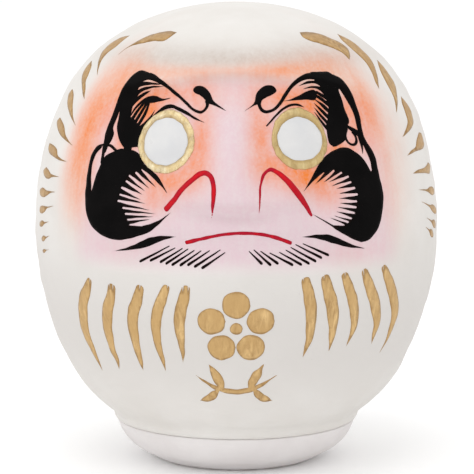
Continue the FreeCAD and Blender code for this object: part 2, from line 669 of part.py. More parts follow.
# ---------------------------------------------------------------- nostril lines, mouth, moustache, whiskers
nostril_line_right = film("nostril_line_right", [[stroke(
    (-27.1, 105.3, 1.7), (-23.3, 109.1, 1.7), (-20.0, 113.2, 1.6), (-16.6, 116.4, 1.6), (-13.8, 118.4, 1.6),
    (-11.6, 118.8, 1.6), (-9.4, 117.6, 1.6), (-8.4, 115.0, 1.5), (-8.1, 111.3, 1.4), (-8.5, 107.3, 1.0),
    (-9.3, 102.7, 0.0),
)]])
nostril_line_left = film("nostril_line_left", [[stroke(
    (8.6, 103.9, 0.0), (8.5, 109.3, 0.6), (9.0, 115.0, 0.8), (10.4, 118.3, 1.1), (12.9, 119.9, 1.3),
    (15.9, 118.8, 1.7), (19.4, 115.8, 2.2), (22.6, 111.9, 2.4), (26.4, 107.3, 2.0), (29.2, 103.0, 1.0),
)]])
mouth_line = film("mouth_line", [[stroke(
    (-18.9, 93.6, 1.5), (-11.8, 95.4, 1.2), (-4.6, 96.9, 1.1), (2.5, 97.4, 1.2), (9.7, 96.8, 1.2),
    (15.6, 95.3, 1.4), (20.9, 93.3, 1.3),
)]])
moustache_right = film("moustache_right", [[stroke(
    (-49.8, 88.7, 0.0), (-43.5, 90.0, 1.0), (-38.0, 91.6, 2.3), (-33.5, 93.3, 2.8), (-29.0, 94.7, 1.8),
    (-23.0, 95.6, 0.0),
)]])
moustache_left = film("moustache_left", [[stroke(
    (25.5, 95.3, 0.0), (31.0, 95.2, 1.3), (36.0, 94.4, 2.5), (40.5, 92.9, 2.3), (45.5, 91.1, 1.4),
    (51.9, 89.6, 0.0),
)]])


def whiskers(ends):
    """Short chin hairs, thin above and blunt below."""
    return [[stroke((*top, 0.4), (*bottom, 1.0))] for top, bottom in ends]


chin_whiskers_right = film("chin_whiskers_right", whiskers([
    ((-25.8, 92.0), (-37.1, 86.1)), ((-23.5, 91.4), (-32.9, 86.6)), ((-20.6, 91.3), (-28.6, 86.4)),
    ((-18.4, 91.2), (-26.2, 86.0)), ((-15.9, 90.8), (-23.7, 85.7)), ((-13.3, 90.7), (-20.5, 85.7)),
    ((-10.0, 90.9), (-17.6, 85.9)), ((-6.0, 91.2), (-15.0, 85.4)), ((-4.2, 90.3), (-12.2, 85.0)),
]))
chin_whiskers_left = film("chin_whiskers_left", whiskers([
    ((4.9, 90.7), (9.2, 86.6)), ((6.7, 91.2), (12.4, 86.1)), ((9.2, 90.7), (15.2, 86.5)),
    ((12.7, 90.0), (20.7, 85.8)), ((16.4, 90.1), (24.1, 85.8)), ((19.0, 90.8), (27.2, 86.0)),
    ((20.9, 91.7), (30.1, 86.6)), ((22.9, 92.6), (32.8, 87.6)), ((25.9, 92.8), (36.0, 88.3)),
]))


# ---------------------------------------------------------------- gold strokes
def chest_stroke(top, belly, bottom):
    """One robe fold: blunt above, fullest at its belly, running to a point below."""
    bow = (belly[0] - top[0]) * 0.15
    upper = ((top[0] + belly[0]) / 2.0 + bow, (top[1] + belly[1]) / 2.0, 4.2)
    lower = ((belly[0] * 2.0 + bottom[0] * 3.0) / 5.0 + bow, (belly[1] * 2.0 + bottom[1] * 3.0) / 5.0, 2.6)
    return [stroke((*top, 3.4), upper, (*belly, 4.4), lower, (*bottom, 0.0))]


chest_strokes_right = film("chest_strokes_right", [
    chest_stroke((-60.1, 77.2), (-67.9, 62.4), (-65.8, 41.1)),
    chest_stroke((-49.4, 75.9), (-53.6, 62.9), (-54.6, 44.2)),
    chest_stroke((-36.5, 76.2), (-41.4, 61.5), (-41.1, 44.6)),
    chest_stroke((-25.7, 77.4), (-31.3, 62.3), (-30.5, 45.3)),
    chest_stroke((-18.7, 77.3), (-21.7, 64.5), (-21.9, 49.3)),
])
chest_strokes_left = film("chest_strokes_left", [
    chest_stroke((25.5, 79.5), (28.5, 68.3), (27.5, 51.2)),
    chest_stroke((33.6, 80.4), (37.3, 69.2), (38.5, 52.7)),
    chest_stroke((41.5, 80.7), (46.8, 69.9), (46.6, 53.8)),
    chest_stroke((50.7, 81.6), (58.1, 68.7), (60.7, 53.0)),
    chest_stroke((60.4, 81.8), (68.2, 69.1), (68.4, 48.4)),
])


def drops(count, first, last, rear, front, width):
    """Short temple strokes spaced evenly in height, round at the rear and thin towards the face."""
    groups = []
    for i in range(count):
        z = first + (last - first) * i / (count - 1)
        waist = ((rear + front) / 2.0, z + 0.4, width * 0.6)
        groups.append([stroke((rear, z, width), waist, (front, z + 0.9, 0.0))])
    return groups


temple_strokes_right = film("temple_strokes_right", [
    [stroke((-42.0, 166.8, 3.0), (-56.7, 163.8, 3.4), (-66.0, 161.2, 1.8), (-74.4, 158.3, 0.0))],
    [stroke((-86.2, 164.6, 2.6), (-86.4, 158.9, 3.2), (-80.3, 150.4, 0.0))],
    [stroke((-99.6, 154.6, 2.4), (-92.0, 149.2, 3.2), (-79.8, 142.5, 0.0))],
    [stroke((-99.8, 144.1, 2.8), (-91.0, 138.1, 3.2), (-78.1, 132.0, 0.0))],
    [stroke((-99.5, 133.3, 3.4), (-88.0, 128.7, 2.4), (-76.3, 125.2, 0.0))],
    [stroke((-100.2, 124.2, 3.6), (-88.7, 121.2, 1.8), (-77.4, 119.2, 0.0))],
    *drops(6, 114.9, 84.0, -99.0, -84.0, 3.4),
])
temple_strokes_left = film("temple_strokes_left", [
    [stroke((45.8, 167.1, 3.0), (61.0, 162.6, 3.4), (66.5, 156.8, 0.0))],
    [stroke((82.7, 165.5, 2.6), (84.2, 157.6, 3.2), (77.0, 146.3, 0.0))],
    [stroke((97.3, 155.4, 2.6), (93.5, 146.5, 3.4), (83.1, 137.2, 0.0))],
    [stroke((96.9, 141.9, 3.0), (93.8, 133.8, 3.2), (81.2, 128.1, 0.0))],
    [stroke((99.4, 128.1, 3.4), (93.7, 123.9, 2.6), (81.5, 121.5, 0.0))],
    *drops(5, 115.8, 89.8, 103.0, 86.0, 3.6),
])

# ---------------------------------------------------------------- chest emblem: a plum blossom over a sprig
emblem_z = dim("emblem_height")
emblem = [[disc(0.0, emblem_z, dim("blossom_eye"))]]
for i in range(5):
    turn = math.radians(72.0 * i)
    reach = dim("petal_ring")
    emblem.append([disc(reach * math.sin(turn), emblem_z + reach * math.cos(turn), dim("petal_radius"))])
leaves = [
    stroke((6.0, 38.4, 0.6), (8.2, 42.4, 3.0), (10.4, 46.8, 0.0)),
    stroke((8.2, 39.2, 0.6), (11.6, 35.6, 2.8), (15.4, 33.8, 0.0)),
]
stem = stroke((-17.0, 43.9, 0.0), (-9.0, 39.3, 1.8), (0.0, 37.6, 2.4), (9.0, 39.3, 1.8), (17.0, 43.9, 0.0))
emblem.append([stem] + leaves + [mirrored(leaf) for leaf in leaves])
chest_emblem = film("chest_emblem", emblem)

# ---------------------------------------------------------------- check and write
NODES = [
    paper_shell, back_seam_strip, base_weight, base_glue_bead,
    eye_ring_right, eye_ring_left, eye_white_right, eye_white_left,
    eyebrow_right, eyebrow_left, beard_right, beard_left,
    nostril_line_right, nostril_line_left, mouth_line,
    moustache_right, moustache_left, chin_whiskers_right, chin_whiskers_left,
    chest_strokes_right, chest_strokes_left, temple_strokes_right, temple_strokes_left, chest_emblem,
]

doc.recompute()
for obj in doc.Objects:
    if "Invalid" in obj.State or "Error" in obj.State:
        raise RuntimeError(f"{obj.Name} is not sound: {obj.State}")
os.makedirs("parts", exist_ok=True)
for node in NODES:
    if node.Shape.isNull() or not node.Shape.isValid() or not node.Shape.Solids:
        raise RuntimeError(f"{node.Label} has no valid solid")
    node.Shape.exportStep(f"parts/{node.Label}.step")
    print(node.Label, len(node.Shape.Solids), round(node.Shape.Volume, 1))
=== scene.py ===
"""Daruma doll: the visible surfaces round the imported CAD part.

The frame is the CAD's: metres, +Z up, the face looks along -Y. A mark on the body is given in unrolled
millimetres (s, z): s runs round the body from the middle of the face, positive towards +X, z is the height.
"""

import math
import random

import bmesh
import bpy
import numpy as np
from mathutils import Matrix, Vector
from mathutils.geometry import delaunay_2d_cdt


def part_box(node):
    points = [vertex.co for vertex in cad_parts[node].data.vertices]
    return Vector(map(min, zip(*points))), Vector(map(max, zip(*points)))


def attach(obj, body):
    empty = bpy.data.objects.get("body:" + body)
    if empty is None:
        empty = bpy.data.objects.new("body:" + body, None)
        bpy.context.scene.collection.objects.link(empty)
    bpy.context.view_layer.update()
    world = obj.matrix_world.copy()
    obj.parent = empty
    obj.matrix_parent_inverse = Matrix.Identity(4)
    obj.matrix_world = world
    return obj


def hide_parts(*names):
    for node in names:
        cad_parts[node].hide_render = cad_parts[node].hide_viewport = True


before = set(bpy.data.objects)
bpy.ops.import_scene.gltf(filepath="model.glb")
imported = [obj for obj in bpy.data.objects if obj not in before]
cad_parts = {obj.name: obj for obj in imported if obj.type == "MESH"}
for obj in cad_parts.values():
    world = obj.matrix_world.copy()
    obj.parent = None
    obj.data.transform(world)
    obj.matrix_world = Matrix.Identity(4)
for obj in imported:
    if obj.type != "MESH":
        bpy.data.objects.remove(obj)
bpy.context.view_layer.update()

rng = random.Random(11)
MM = 0.001

# ---------------------------------------------------------------- the form, the same as the CAD's
shell_low, shell_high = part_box("paper_shell")
_, base_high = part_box("base_weight")
HEIGHT = shell_high.z / MM
EQUATOR = 77.5
JOINT = shell_low.z / MM
CROWN_R, SHOULDER_R, SIDE_R, SEAT_R = 93.0, 62.0, 118.0, 50.0
EQUATOR_Z, SEAT_Z = 91.4, 38.4
WALL, COLLAR_R, MOUTH_R = 3.0, 47.6, 36.0
COLLAR_TOP = 18.95  # where the body's skin meets the collar
FILLET = 1.9  # how far the paint that fills that corner reaches up the skin
COLLAR_SWELL, BASE_SWELL = 0.35, 0.5  # how much of the body's unevenness the collar and the weight share


def arc_touching(inner, inner_r, other, other_r, radius):
    """The centre from which an arc of this radius touches the arcs round inner and other from inside."""
    near, far = inner_r - radius, other_r - radius
    dx, dz = other[0] - inner[0], other[1] - inner[1]
    apart = math.hypot(dx, dz)
    along = (near**2 - far**2 + apart**2) / (2.0 * apart)
    across = math.sqrt(near**2 - along**2)
    ux, uz = dx / apart, dz / apart
    return (inner[0] + along * ux + across * uz, inner[1] + along * uz - across * ux)


def touch_height(centre, radius, other):
    """The height where the arc round centre touches the arc round other."""
    dx, dz = other[0] - centre[0], other[1] - centre[1]
    return centre[1] + abs(dz) * radius / math.hypot(dx, dz)


CROWN = (0.0, HEIGHT - CROWN_R)
SIDE = (EQUATOR - SIDE_R, EQUATOR_Z)
SHOULDER = arc_touching(CROWN, CROWN_R, SIDE, SIDE_R, SHOULDER_R)
CROWN_END = touch_height(CROWN, CROWN_R, SHOULDER)
SHOULDER_END = touch_height(SIDE, SIDE_R, SHOULDER)
SEAT_REACH = math.sqrt(SIDE_R**2 - (SEAT_Z - EQUATOR_Z) ** 2)
SEAT = (
    SIDE[0] + SEAT_REACH * (1.0 - SEAT_R / SIDE_R),
    SIDE[1] + (SEAT_Z - EQUATOR_Z) * (1.0 - SEAT_R / SIDE_R),
)


def station(z):
    """The round body at heights z: radius, and its outward normal as a run out and a rise."""
    z = np.asarray(z, float)
    bands = [z >= CROWN_END, z >= SHOULDER_END, z >= SEAT_Z]
    centre_r = np.select(bands, [CROWN[0], SHOULDER[0], SIDE[0]], SEAT[0])
    centre_z = np.select(bands, [CROWN[1], SHOULDER[1], SIDE[1]], SEAT[1])
    radius = np.select(bands, [CROWN_R, SHOULDER_R, SIDE_R], SEAT_R)
    rise = np.clip((z - centre_z) / radius, -1.0, 1.0)
    run = np.sqrt(1.0 - rise * rise)
    return centre_r + radius * run, run, rise


def ease(t):
    """0 below 0, 1 above 1 and a smooth step between them."""
    t = np.clip(t, 0.0, 1.0)
    return t * t * (3.0 - 2.0 * t)


def bell(t):
    """A smooth bump: 1 at 0, fading to nothing by about 2."""
    return np.exp(-t * t)


PANEL_DEPTH, PANEL_TOP, PANEL_BOTTOM, PANEL_HALF = 4.2, 154.9, 81.4, 66.0
HOOD_RISE, HOOD_Z = 3.2, 162.4
NOSE_RISE, NOSE_TOP, NOSE_BOTTOM = 6.2, 152.4, 102.9
# Soft swellings of the face: rise, distance from the middle, reach round the body, height, reach in height.
SWELLINGS = {
    "nostril wings": (2.6, 20.0, 7.5, 110.4, 7.0),
    "eyeballs": (1.6, 27.0, 12.0, 130.4, 12.0),
    "cheeks": (1.8, 46.0, 12.0, 104.4, 12.0),
    "brow ridges": (1.5, 33.0, 16.0, 148.4, 5.0),
    "upper lip": (2.4, 0.0, 30.0, 99.4, 5.0),
    "chin": (1.6, 0.0, 28.0, 87.4, 4.5),
}


def arched(top, s):
    """The height of the face panel's upper edge, which drops towards the sides."""
    return top - 7.0 * (s / 55.0) ** 2


def relief(s, z):
    """How far the face stands out from the round body at s, z."""
    side = np.abs(s)
    panel = ease((arched(PANEL_TOP, s) - z) / 6.0) * ease((z - PANEL_BOTTOM) / 8.0)
    out = -PANEL_DEPTH * (panel * ease((PANEL_HALF - side) / 26.0))
    out = out + HOOD_RISE * bell((z - HOOD_Z) / 8.5) * ease((85.0 - side) / 50.0)
    nose_width = 5.5 + 13.0 * ease((146.4 - z) / 42.0)
    nose = ease((NOSE_TOP - z) / 40.0) * ease((z - NOSE_BOTTOM) / 6.0)
    out = out + NOSE_RISE * nose * bell(s / nose_width)
    for rise, middle, wide, height, tall in SWELLINGS.values():
        out = out + rise * bell((side - middle) / wide) * bell((z - height) / tall)
    return out


# Waves that make the pasted paper slightly uneven: turns round the body, cycles per mm up it, height in mm.
SWELLS = ((3, 0.011, 0.16), (5, 0.019, 0.13), (8, 0.031, 0.10), (13, 0.044, 0.06), (21, 0.071, 0.035))
SWELL_SHARE = 0.6  # the part of those heights that is used
FULL_TURN = 6.3
WAVES = []
for turns, cycles, swell in SWELLS:
    for _ in range(2):
        turns_round, cycles_up = turns + rng.randint(-1, 1), cycles * rng.uniform(0.7, 1.3)
        WAVES.append((turns_round, cycles_up, rng.uniform(0, FULL_TURN), swell))


def unevenness(s, z):
    """The paper's slight swells, faded out at the crown, where all directions meet."""
    angle = np.asarray(s) / EQUATOR
    out = np.zeros(np.broadcast(angle, z).shape)
    for turns, cycles, phase, swell in WAVES:
        out = out + swell * np.sin(turns * angle + phase + 3.0 * np.sin(6.2832 * cycles * z + phase))
    return out * ease((HEIGHT - z) / 9.0) * SWELL_SHARE


def skin(s, z, off=0.0):
    """Points of the body's surface in metres, moved out by off millimetres."""
    s, z = np.asarray(s, float), np.asarray(z, float)
    angle = s / EQUATOR
    radius, run, rise = station(z)
    lift = off + unevenness(s, z)
    reach = radius + relief(s, z) + lift * run
    points = [reach * np.sin(angle), -reach * np.cos(angle), z + lift * rise]
    return np.stack(np.broadcast_arrays(*points), axis=-1) * MM


# ---------------------------------------------------------------- mesh helpers
def make_object(name, points, faces, material):
    """A smooth mesh object from points in metres, its faces turned outwards."""
    mesh = bpy.data.meshes.new(name)
    mesh.from_pydata([tuple(p) for p in points], [], faces)
    shape = bmesh.new()
    shape.from_mesh(mesh)
    bmesh.ops.recalc_face_normals(shape, faces=shape.faces)
    shape.to_mesh(mesh)
    shape.free()
    mesh.update()
    mesh.shade_smooth()
    obj = bpy.data.objects.new(name, mesh)
    bpy.context.scene.collection.objects.link(obj)
    mesh.materials.append(material)
    return obj


def finish_piece(obj, slot, *nodes):
    """Hangs a piece on the root body and hides the CAD nodes it takes the place of; slot is not used."""
    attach(obj, "root")
    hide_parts(*nodes)


def paint_attribute(obj, name, values):
    """Stores one number per point for the material to read."""
    layer = obj.data.attributes.new(name, "FLOAT", "POINT")
    layer.data.foreach_set("value", np.asarray(values, np.float32))


def lathe(rings, columns, first=0):
    """Faces that join closed rings of points, one after another, from the point numbered first."""
    faces = []
    for row in range(rings - 1):
        low, high = first + row * columns, first + (row + 1) * columns
        for i in range(columns):
            j = (i + 1) % columns
            faces.append((low + i, low + j, high + j, high + i))
    return faces


def fan(first, columns, pole):
    """Faces that close a ring of points, numbered from first, with one point."""
    return [(first + i, first + (i + 1) % columns, pole) for i in range(columns)]


def joined(last, columns):
    """Faces that join the ring numbered from last to the very first ring."""
    return [(last + i, last + (i + 1) % columns, (i + 1) % columns, i) for i in range(columns)]


def round_ring(reach, angle, z):
    """A level ring of points round the body's axis, in metres."""
    return np.stack([reach * np.sin(angle), -reach * np.cos(angle), np.full(len(angle), z * MM)], axis=1)


# ---------------------------------------------------------------- outlines of brushed marks
def smooth_run(points, step):
    """Points every step millimetres along a smooth curve through the given points, without the last one."""
    if len(points) == 2:
        (s1, z1), (s2, z2) = points
        count = max(1, round(math.hypot(s2 - s1, z2 - z1) / (2.0 * step)))
        return [(s1 + (s2 - s1) * i / count, z1 + (z2 - z1) * i / count) for i in range(count)]
    before = [2 * points[0][k] - points[1][k] for k in (0, 1)]
    after = [2 * points[-1][k] - points[-2][k] for k in (0, 1)]
    knots = [before] + list(points) + [after]
    run = []
    for a, b, c, d in zip(knots, knots[1:], knots[2:], knots[3:]):
        length = math.hypot(c[0] - b[0], c[1] - b[1])
        count = max(1, round(length / step))
        t1 = max(math.hypot(b[0] - a[0], b[1] - a[1]), 1e-6) ** 0.5
        t2 = max(length, 1e-6) ** 0.5
        t3 = max(math.hypot(d[0] - c[0], d[1] - c[1]), 1e-6) ** 0.5
        for i in range(count):
            t = i / count
            point = []
            for k in (0, 1):
                m1 = t2 * ((b[k] - a[k]) / t1 - (c[k] - a[k]) / (t1 + t2) + (c[k] - b[k]) / t2)
                m2 = t2 * ((c[k] - b[k]) / t2 - (d[k] - b[k]) / (t2 + t3) + (d[k] - c[k]) / t3)
                h1 = 2 * t**3 - 3 * t**2 + 1
                h2 = t**3 - 2 * t**2 + t
                h3 = -2 * t**3 + 3 * t**2
                h4 = t**3 - t**2
                point.append(h1 * b[k] + h2 * m1 + h3 * c[k] + h4 * m2)
            run.append(tuple(point))
    return run


def closed(*stretches):
    """An outline from its smooth stretches, each of which ends where the next begins."""
    return [[*run, after[0]] for run, after in zip(stretches, stretches[1:] + stretches[:1])]


def stroke(*path, cap=0.0):
    """The outline of a brush stroke: path gives s, z and the width in true millimetres at each point."""
    left, right = [], []
    last = len(path) - 1
    for i, (s, z, width) in enumerate(path):
        before, after = path[max(i - 1, 0)], path[min(i + 1, last)]
        radius, run, rise = (float(v) for v in station(z))
        wide, tall = radius / EQUATOR, 1.0 / run
        ds, dz = (after[0] - before[0]) * wide, (after[1] - before[1]) * tall
        length = math.hypot(ds, dz)
        across, up = -dz / length * width / 2.0 / wide, ds / length * width / 2.0 / tall
        left.append((s + across, z + up))
        right.append((s - across, z - up))
    right.reverse()
    far_end = end_cap(left[-1], right[0], path[-2], path[-1], cap)
    near_end = end_cap(right[-1], left[0], path[1], path[0], cap)
    return [left, far_end, right, near_end]


def strokes(*paths):
    """Several strokes, each from its own path."""
    return [stroke(*path) for path in paths]


def end_cap(a, b, before, end, cap):
    """The end of a stroke: rounded off, further out by cap times the width."""
    width = end[2]
    if width < 0.05:
        return [a, b]
    ds, dz = end[0] - before[0], end[1] - before[1]
    length = math.hypot(ds, dz)
    ds, dz = ds / length * width * (0.35 + cap), dz / length * width * (0.35 + cap)
    s, z = (a[0] + b[0]) / 2.0, (a[1] + b[1]) / 2.0

    def shoulder(corner):
        return (s + (corner[0] - s) * 0.72 + ds * 0.7, z + (corner[1] - z) * 0.72 + dz * 0.7)

    return [a, shoulder(a), (s + ds, z + dz), shoulder(b), b]


ROOT_HALF, ROOT_DEPTH = 0.34, 0.3  # half width and depth of the rounded root of a gap between hairs


def comb(gaps, tips):
    """The edge of a mass of hair, as stretches for closed(): each gap's rounded root, then a hair's tip."""
    edge = []
    for gap, tip, after in zip(gaps, tips, gaps[1:]):
        flanks = []
        for root, side in ((gap, ROOT_HALF), (after, -ROOT_HALF)):
            ds, dz = tip[0] - root[0], tip[1] - root[1]
            length = math.hypot(ds, dz)
            if (after[0] - gap[0]) * dz - (after[1] - gap[1]) * ds <= 0.0:
                side = -side
            ds, dz = ds / length, dz / length
            flanks.append((root[0] + dz * side + ds * ROOT_DEPTH, root[1] - ds * side + dz * ROOT_DEPTH))
        edge += [[gap], [flanks[0]], [tip], [flanks[1]]]
    return edge


def drop(rear, low, front, high, width):
    """A short stroke with a round head at the rear, drawn out to a thin tail towards the face."""
    def along(share, wide):
        return (rear + (front - rear) * share, low + (high - low) * share, wide * width)

    profile = ((0.0, 0.7), (0.14, 1.0), (0.34, 0.9), (0.52, 0.36), (1.0, 0.0))
    return stroke(*(along(share, wide) for share, wide in profile), cap=0.15)


def forks(*notches):
    """Narrow gaps where the hairs of the brush parted at the start of a stroke: s, z and depth of each."""
    return [stroke((s, z + 0.8, 0.75), (s + s * 0.004 * deep, z - deep, 0.0)) for s, z, deep in notches]


def mirrored(outline):
    """The same outline on the other side of the face."""
    return [[(-s, z) for s, z in stretch] for stretch in outline]


def trace(outline, step, wobble):
    """The closed run of points of an outline, with the small wander of a brushed edge."""
    run = []
    for stretch in outline:
        run += smooth_run(stretch, step)
    count = len(run)
    waves = [(rng.uniform(0, FULL_TURN), rng.uniform(0.55, 1.5)) for _ in range(3)]
    moved = []
    travelled = 0.0
    for i, (s, z) in enumerate(run):
        s0, z0 = run[i - 1]
        s1, z1 = run[(i + 1) % count]
        travelled += math.hypot(s - s0, z - z0)
        ds, dz = s1 - s0, z1 - z0
        length = math.hypot(ds, dz) or 1.0
        shift = wobble * sum(math.sin(travelled * pace + phase) for phase, pace in waves) / 3.0
        moved.append((s - dz / length * shift, z + ds / length * shift))
    return moved


def inside_any(points, loops):
    """Which of the points lie inside at least one closed loop."""
    found = np.zeros(len(points), bool)
    for loop in loops:
        a = np.array(loop)
        b = np.roll(a, -1, axis=0)
        low, high = a.min(0), a.max(0)
        near = np.all((points > low) & (points < high), axis=1) & ~found
        p = points[near]
        if not len(p):
            continue
        rises = (b[None, :, 1] > p[:, None, 1]).astype(int) - (a[None, :, 1] > p[:, None, 1])
        with np.errstate(divide="ignore", invalid="ignore"):
            where = a[:, 0] + (p[:, None, 1] - a[:, 1]) * (b[:, 0] - a[:, 0]) / (b[:, 1] - a[:, 1])
        found[near] = (rises * (p[:, None, 0] < where)).sum(1) != 0
    return found


def edge_distance(points, loops):
    """How far each point is from the nearest loop point."""
    rim = np.concatenate([np.array(loop) for loop in loops])
    out = np.empty(len(points))
    for i in range(0, len(points), 400):
        gap = points[i : i + 400, None, :] - rim[None, :, :]
        out[i : i + 400] = np.sqrt((gap**2).sum(2)).min(1)
    return out


FILM_SINK = 0.35  # how far a film reaches below the skin, so that no gap shows under its edge
RIM_SHARE = 0.55  # the thickness of a film along its edge, as a share of the whole


def film(name, outlines, paint, thick=0.14, wobble=0.08, step=0.4, fill=1.1, cuts=()):
    """Brushed paint as one closed thin mesh: the union of the outlines less the cuts, laid on the body."""
    material, slot = paint
    loops = [trace(outline, step, wobble) for outline in outlines]
    holes = [trace(outline, step, wobble * 0.5) for outline in cuts]
    corners, edges = [], []
    for loop in loops + holes:
        first, count = len(corners), len(loop)
        edges += [(first + i, first + (i + 1) % count) for i in range(count)]
        corners += loop
    low, high = np.min(corners, axis=0), np.max(corners, axis=0)
    grid = np.array([
        (s, z) for s in np.arange(low[0], high[0], fill) for z in np.arange(low[1], high[1], fill)
    ])
    if len(grid):
        grid = grid[inside_any(grid, loops)]
    if len(grid):
        grid = grid[edge_distance(grid, loops + holes) > fill * 0.45]
    vectors = [Vector(c) for c in corners] + [Vector(g) for g in grid]
    verts, _, faces, _, _, _ = delaunay_2d_cdt(vectors, edges, [], 0, 1e-5)
    verts = np.array([tuple(v) for v in verts])
    middles = np.array([verts[list(face)].mean(0) for face in faces])
    painted = inside_any(middles, loops) & ~inside_any(middles, holes)
    kept = [tuple(face) for face, wanted in zip(faces, painted) if wanted]
    used = sorted({v for face in kept for v in face})
    index = {v: i for i, v in enumerate(used)}
    flat = verts[used]
    kept = [tuple(index[v] for v in face) for face in kept]
    boundary = {}
    for face in kept:
        for a, b in zip(face, face[1:] + face[:1]):
            if (b, a) in boundary:
                del boundary[(b, a)]
            else:
                boundary[(a, b)] = None
    rim = {v for edge in boundary for v in edge}
    lift = np.array([thick * (RIM_SHARE if i in rim else 1.0) for i in range(len(flat))])
    top = skin(flat[:, 0], flat[:, 1], lift)
    bottom = skin(flat[:, 0], flat[:, 1], -FILM_SINK)
    count = len(flat)
    solid = list(kept)
    solid += [tuple(v + count for v in reversed(face)) for face in kept]
    solid += [(b, a, a + count, b + count) for a, b in boundary]
    obj = make_object(f"{name}_paint", np.concatenate([top, bottom]), solid, material)
    inner = np.array([0.0 if i in rim else 1.0 for i in range(count)])
    paint_attribute(obj, "rim", np.tile(inner, 2))
    finish_piece(obj, slot, name)


# ---------------------------------------------------------------- materials
def linear(red, green, blue):
    """An sRGB colour, 0 to 255, as the shader wants it."""
    out = []
    for value in (red, green, blue):
        value /= 255.0
        out.append(value / 12.92 if value <= 0.04045 else ((value + 0.055) / 1.055) ** 2.4)
    return (*out, 1.0)


class Nodes:
    """A material's node tree, with short calls for the nodes used here."""

    def __init__(self, name, roughness=0.6, metallic=0.0, specular=0.4):
        self.material = bpy.data.materials.new(name)
        self.material.use_nodes = True
        self.tree = self.material.node_tree
        self.shader = self.tree.nodes["Principled BSDF"]
        self.shader.inputs["Roughness"].default_value = roughness
        self.shader.inputs["Metallic"].default_value = metallic
        self.shader.inputs["Specular IOR Level"].default_value = specular
        self.place = self.tree.nodes.new("ShaderNodeTexCoord").outputs["Object"]

    def feed(self, socket, value):
        """Sets a socket to a number or tuple, or links it to another node's output."""
        if isinstance(value, (int, float, tuple)):
            socket.default_value = value
        else:
            self.tree.links.new(value, socket)

    def add(self, kind, **inputs):
        """A new node with its inputs fed by name."""
        node = self.tree.nodes.new(f"ShaderNode{kind}")
        for name, value in inputs.items():
            self.feed(node.inputs[name.replace("_", " ")], value)
        return node

    def scaled(self, x, y, z):
        """The object's coordinates scaled along each axis."""
        return self.add("Mapping", Scale=(x, y, z), Vector=self.place).outputs["Vector"]

    def noise(self, scale, detail=3.0, rough=0.5, vector=None, distortion=0.0):
        """Cloudy noise, 0 to 1."""
        node = self.add("TexNoise", Scale=scale, Detail=detail, Roughness=rough, Distortion=distortion,
                        Vector=vector or self.place)
        return node.outputs["Fac"]

    def spread(self, source, low, high, to_low=0.0, to_high=1.0):
        """The source's range low to high stretched to another range, clamped."""
        node = self.add("MapRange", Value=source, From_Min=low, From_Max=high, To_Min=to_low, To_Max=to_high)
        return node.outputs["Result"]

    def times(self, a, b):
        """The product of two values."""
        node = self.tree.nodes.new("ShaderNodeMath")
        node.operation = "MULTIPLY"
        self.feed(node.inputs[0], a)
        self.feed(node.inputs[1], b)
        return node.outputs["Value"]

    def mix(self, amount, a, b):
        """Colour a, with as much of colour b as the amount says; a plain colour is sRGB, 0 to 255."""
        node = self.tree.nodes.new("ShaderNodeMix")
        node.data_type = "RGBA"
        self.feed(node.inputs[0], amount)
        for socket, value in ((node.inputs[6], a), (node.inputs[7], b)):
            self.feed(socket, linear(*value) if isinstance(value, tuple) else value)
        return node.outputs[2]

    def attribute(self, name):
        """A number stored at the mesh's points."""
        node = self.tree.nodes.new("ShaderNodeAttribute")
        node.attribute_name = name
        return node.outputs["Fac"]

    def specks(self, scale, size):
        """1 in small separate dots, 0 elsewhere."""
        node = self.add("TexVoronoi", Scale=scale, Vector=self.place)
        return self.spread(node.outputs["Distance"], size, size * 0.6)

    def bump(self, height, strength, distance):
        """Adds fine relief to what the shader's normal already has."""
        node = self.add("Bump", Strength=strength, Distance=distance, Height=height)
        previous = self.shader.inputs["Normal"]
        if previous.is_linked:
            self.feed(node.inputs["Normal"], previous.links[0].from_socket)
        self.feed(previous, node.outputs["Normal"])

    def colour(self, source):
        """The shader's colour."""
        self.feed(self.shader.inputs["Base Color"], source)

    def roughness(self, source):
        """The shader's roughness."""
        self.feed(self.shader.inputs["Roughness"], source)


def chalk_material():
    """Shell-white ground over papier-mache, with the airbrushed colour of the face, painted shade in the hood's
    crease and painted shade on the lower body.
    """
    m = Nodes("chalk_white", roughness=0.78, specular=0.25)
    cloud = m.noise(38.0, 4.0, 0.6)
    grain = m.noise(900.0, 2.0, 0.6)
    streak = m.noise(1.0, 3.0, 0.6, m.scaled(420.0, 420.0, 60.0))
    white = m.mix(m.spread(cloud, 0.35, 0.68), (222, 219, 215), (216, 212, 207))
    # Painted shade: the ground turns greyer on the lower body, from just above the weight up to the face.
    white = m.mix(m.attribute("painted_body_shade"), white, (208, 204, 200))
    spray = m.times(m.spread(grain, 0.3, 0.7, 0.86, 1.12), m.spread(streak, 0.3, 0.7, 0.84, 1.14))
    layers = (
        # painted shade: greyish beige laid in the crease where the hood meets the face
        ("painted_crease_shade", (194, 184, 176)),
        ("lilac", (215, 192, 198)),
        ("pink", (226, 160, 134)),
        ("orange", (228, 124, 50)),
    )
    for name, tint in layers:
        amount = m.times(m.attribute(name), spray)
        white = m.mix(amount, white, tint)
    dots = m.times(m.specks(130.0, 0.045), m.spread(m.noise(22.0), 0.55, 0.6))
    white = m.mix(m.times(dots, 0.55), white, (150, 138, 120))
    m.colour(white)
    m.roughness(m.spread(cloud, 0.3, 0.7, 0.70, 0.84))
    m.bump(m.noise(120.0, 4.0, 0.55), 0.25, 0.0006)
    m.bump(grain, 0.12, 0.0001)
    return m.material


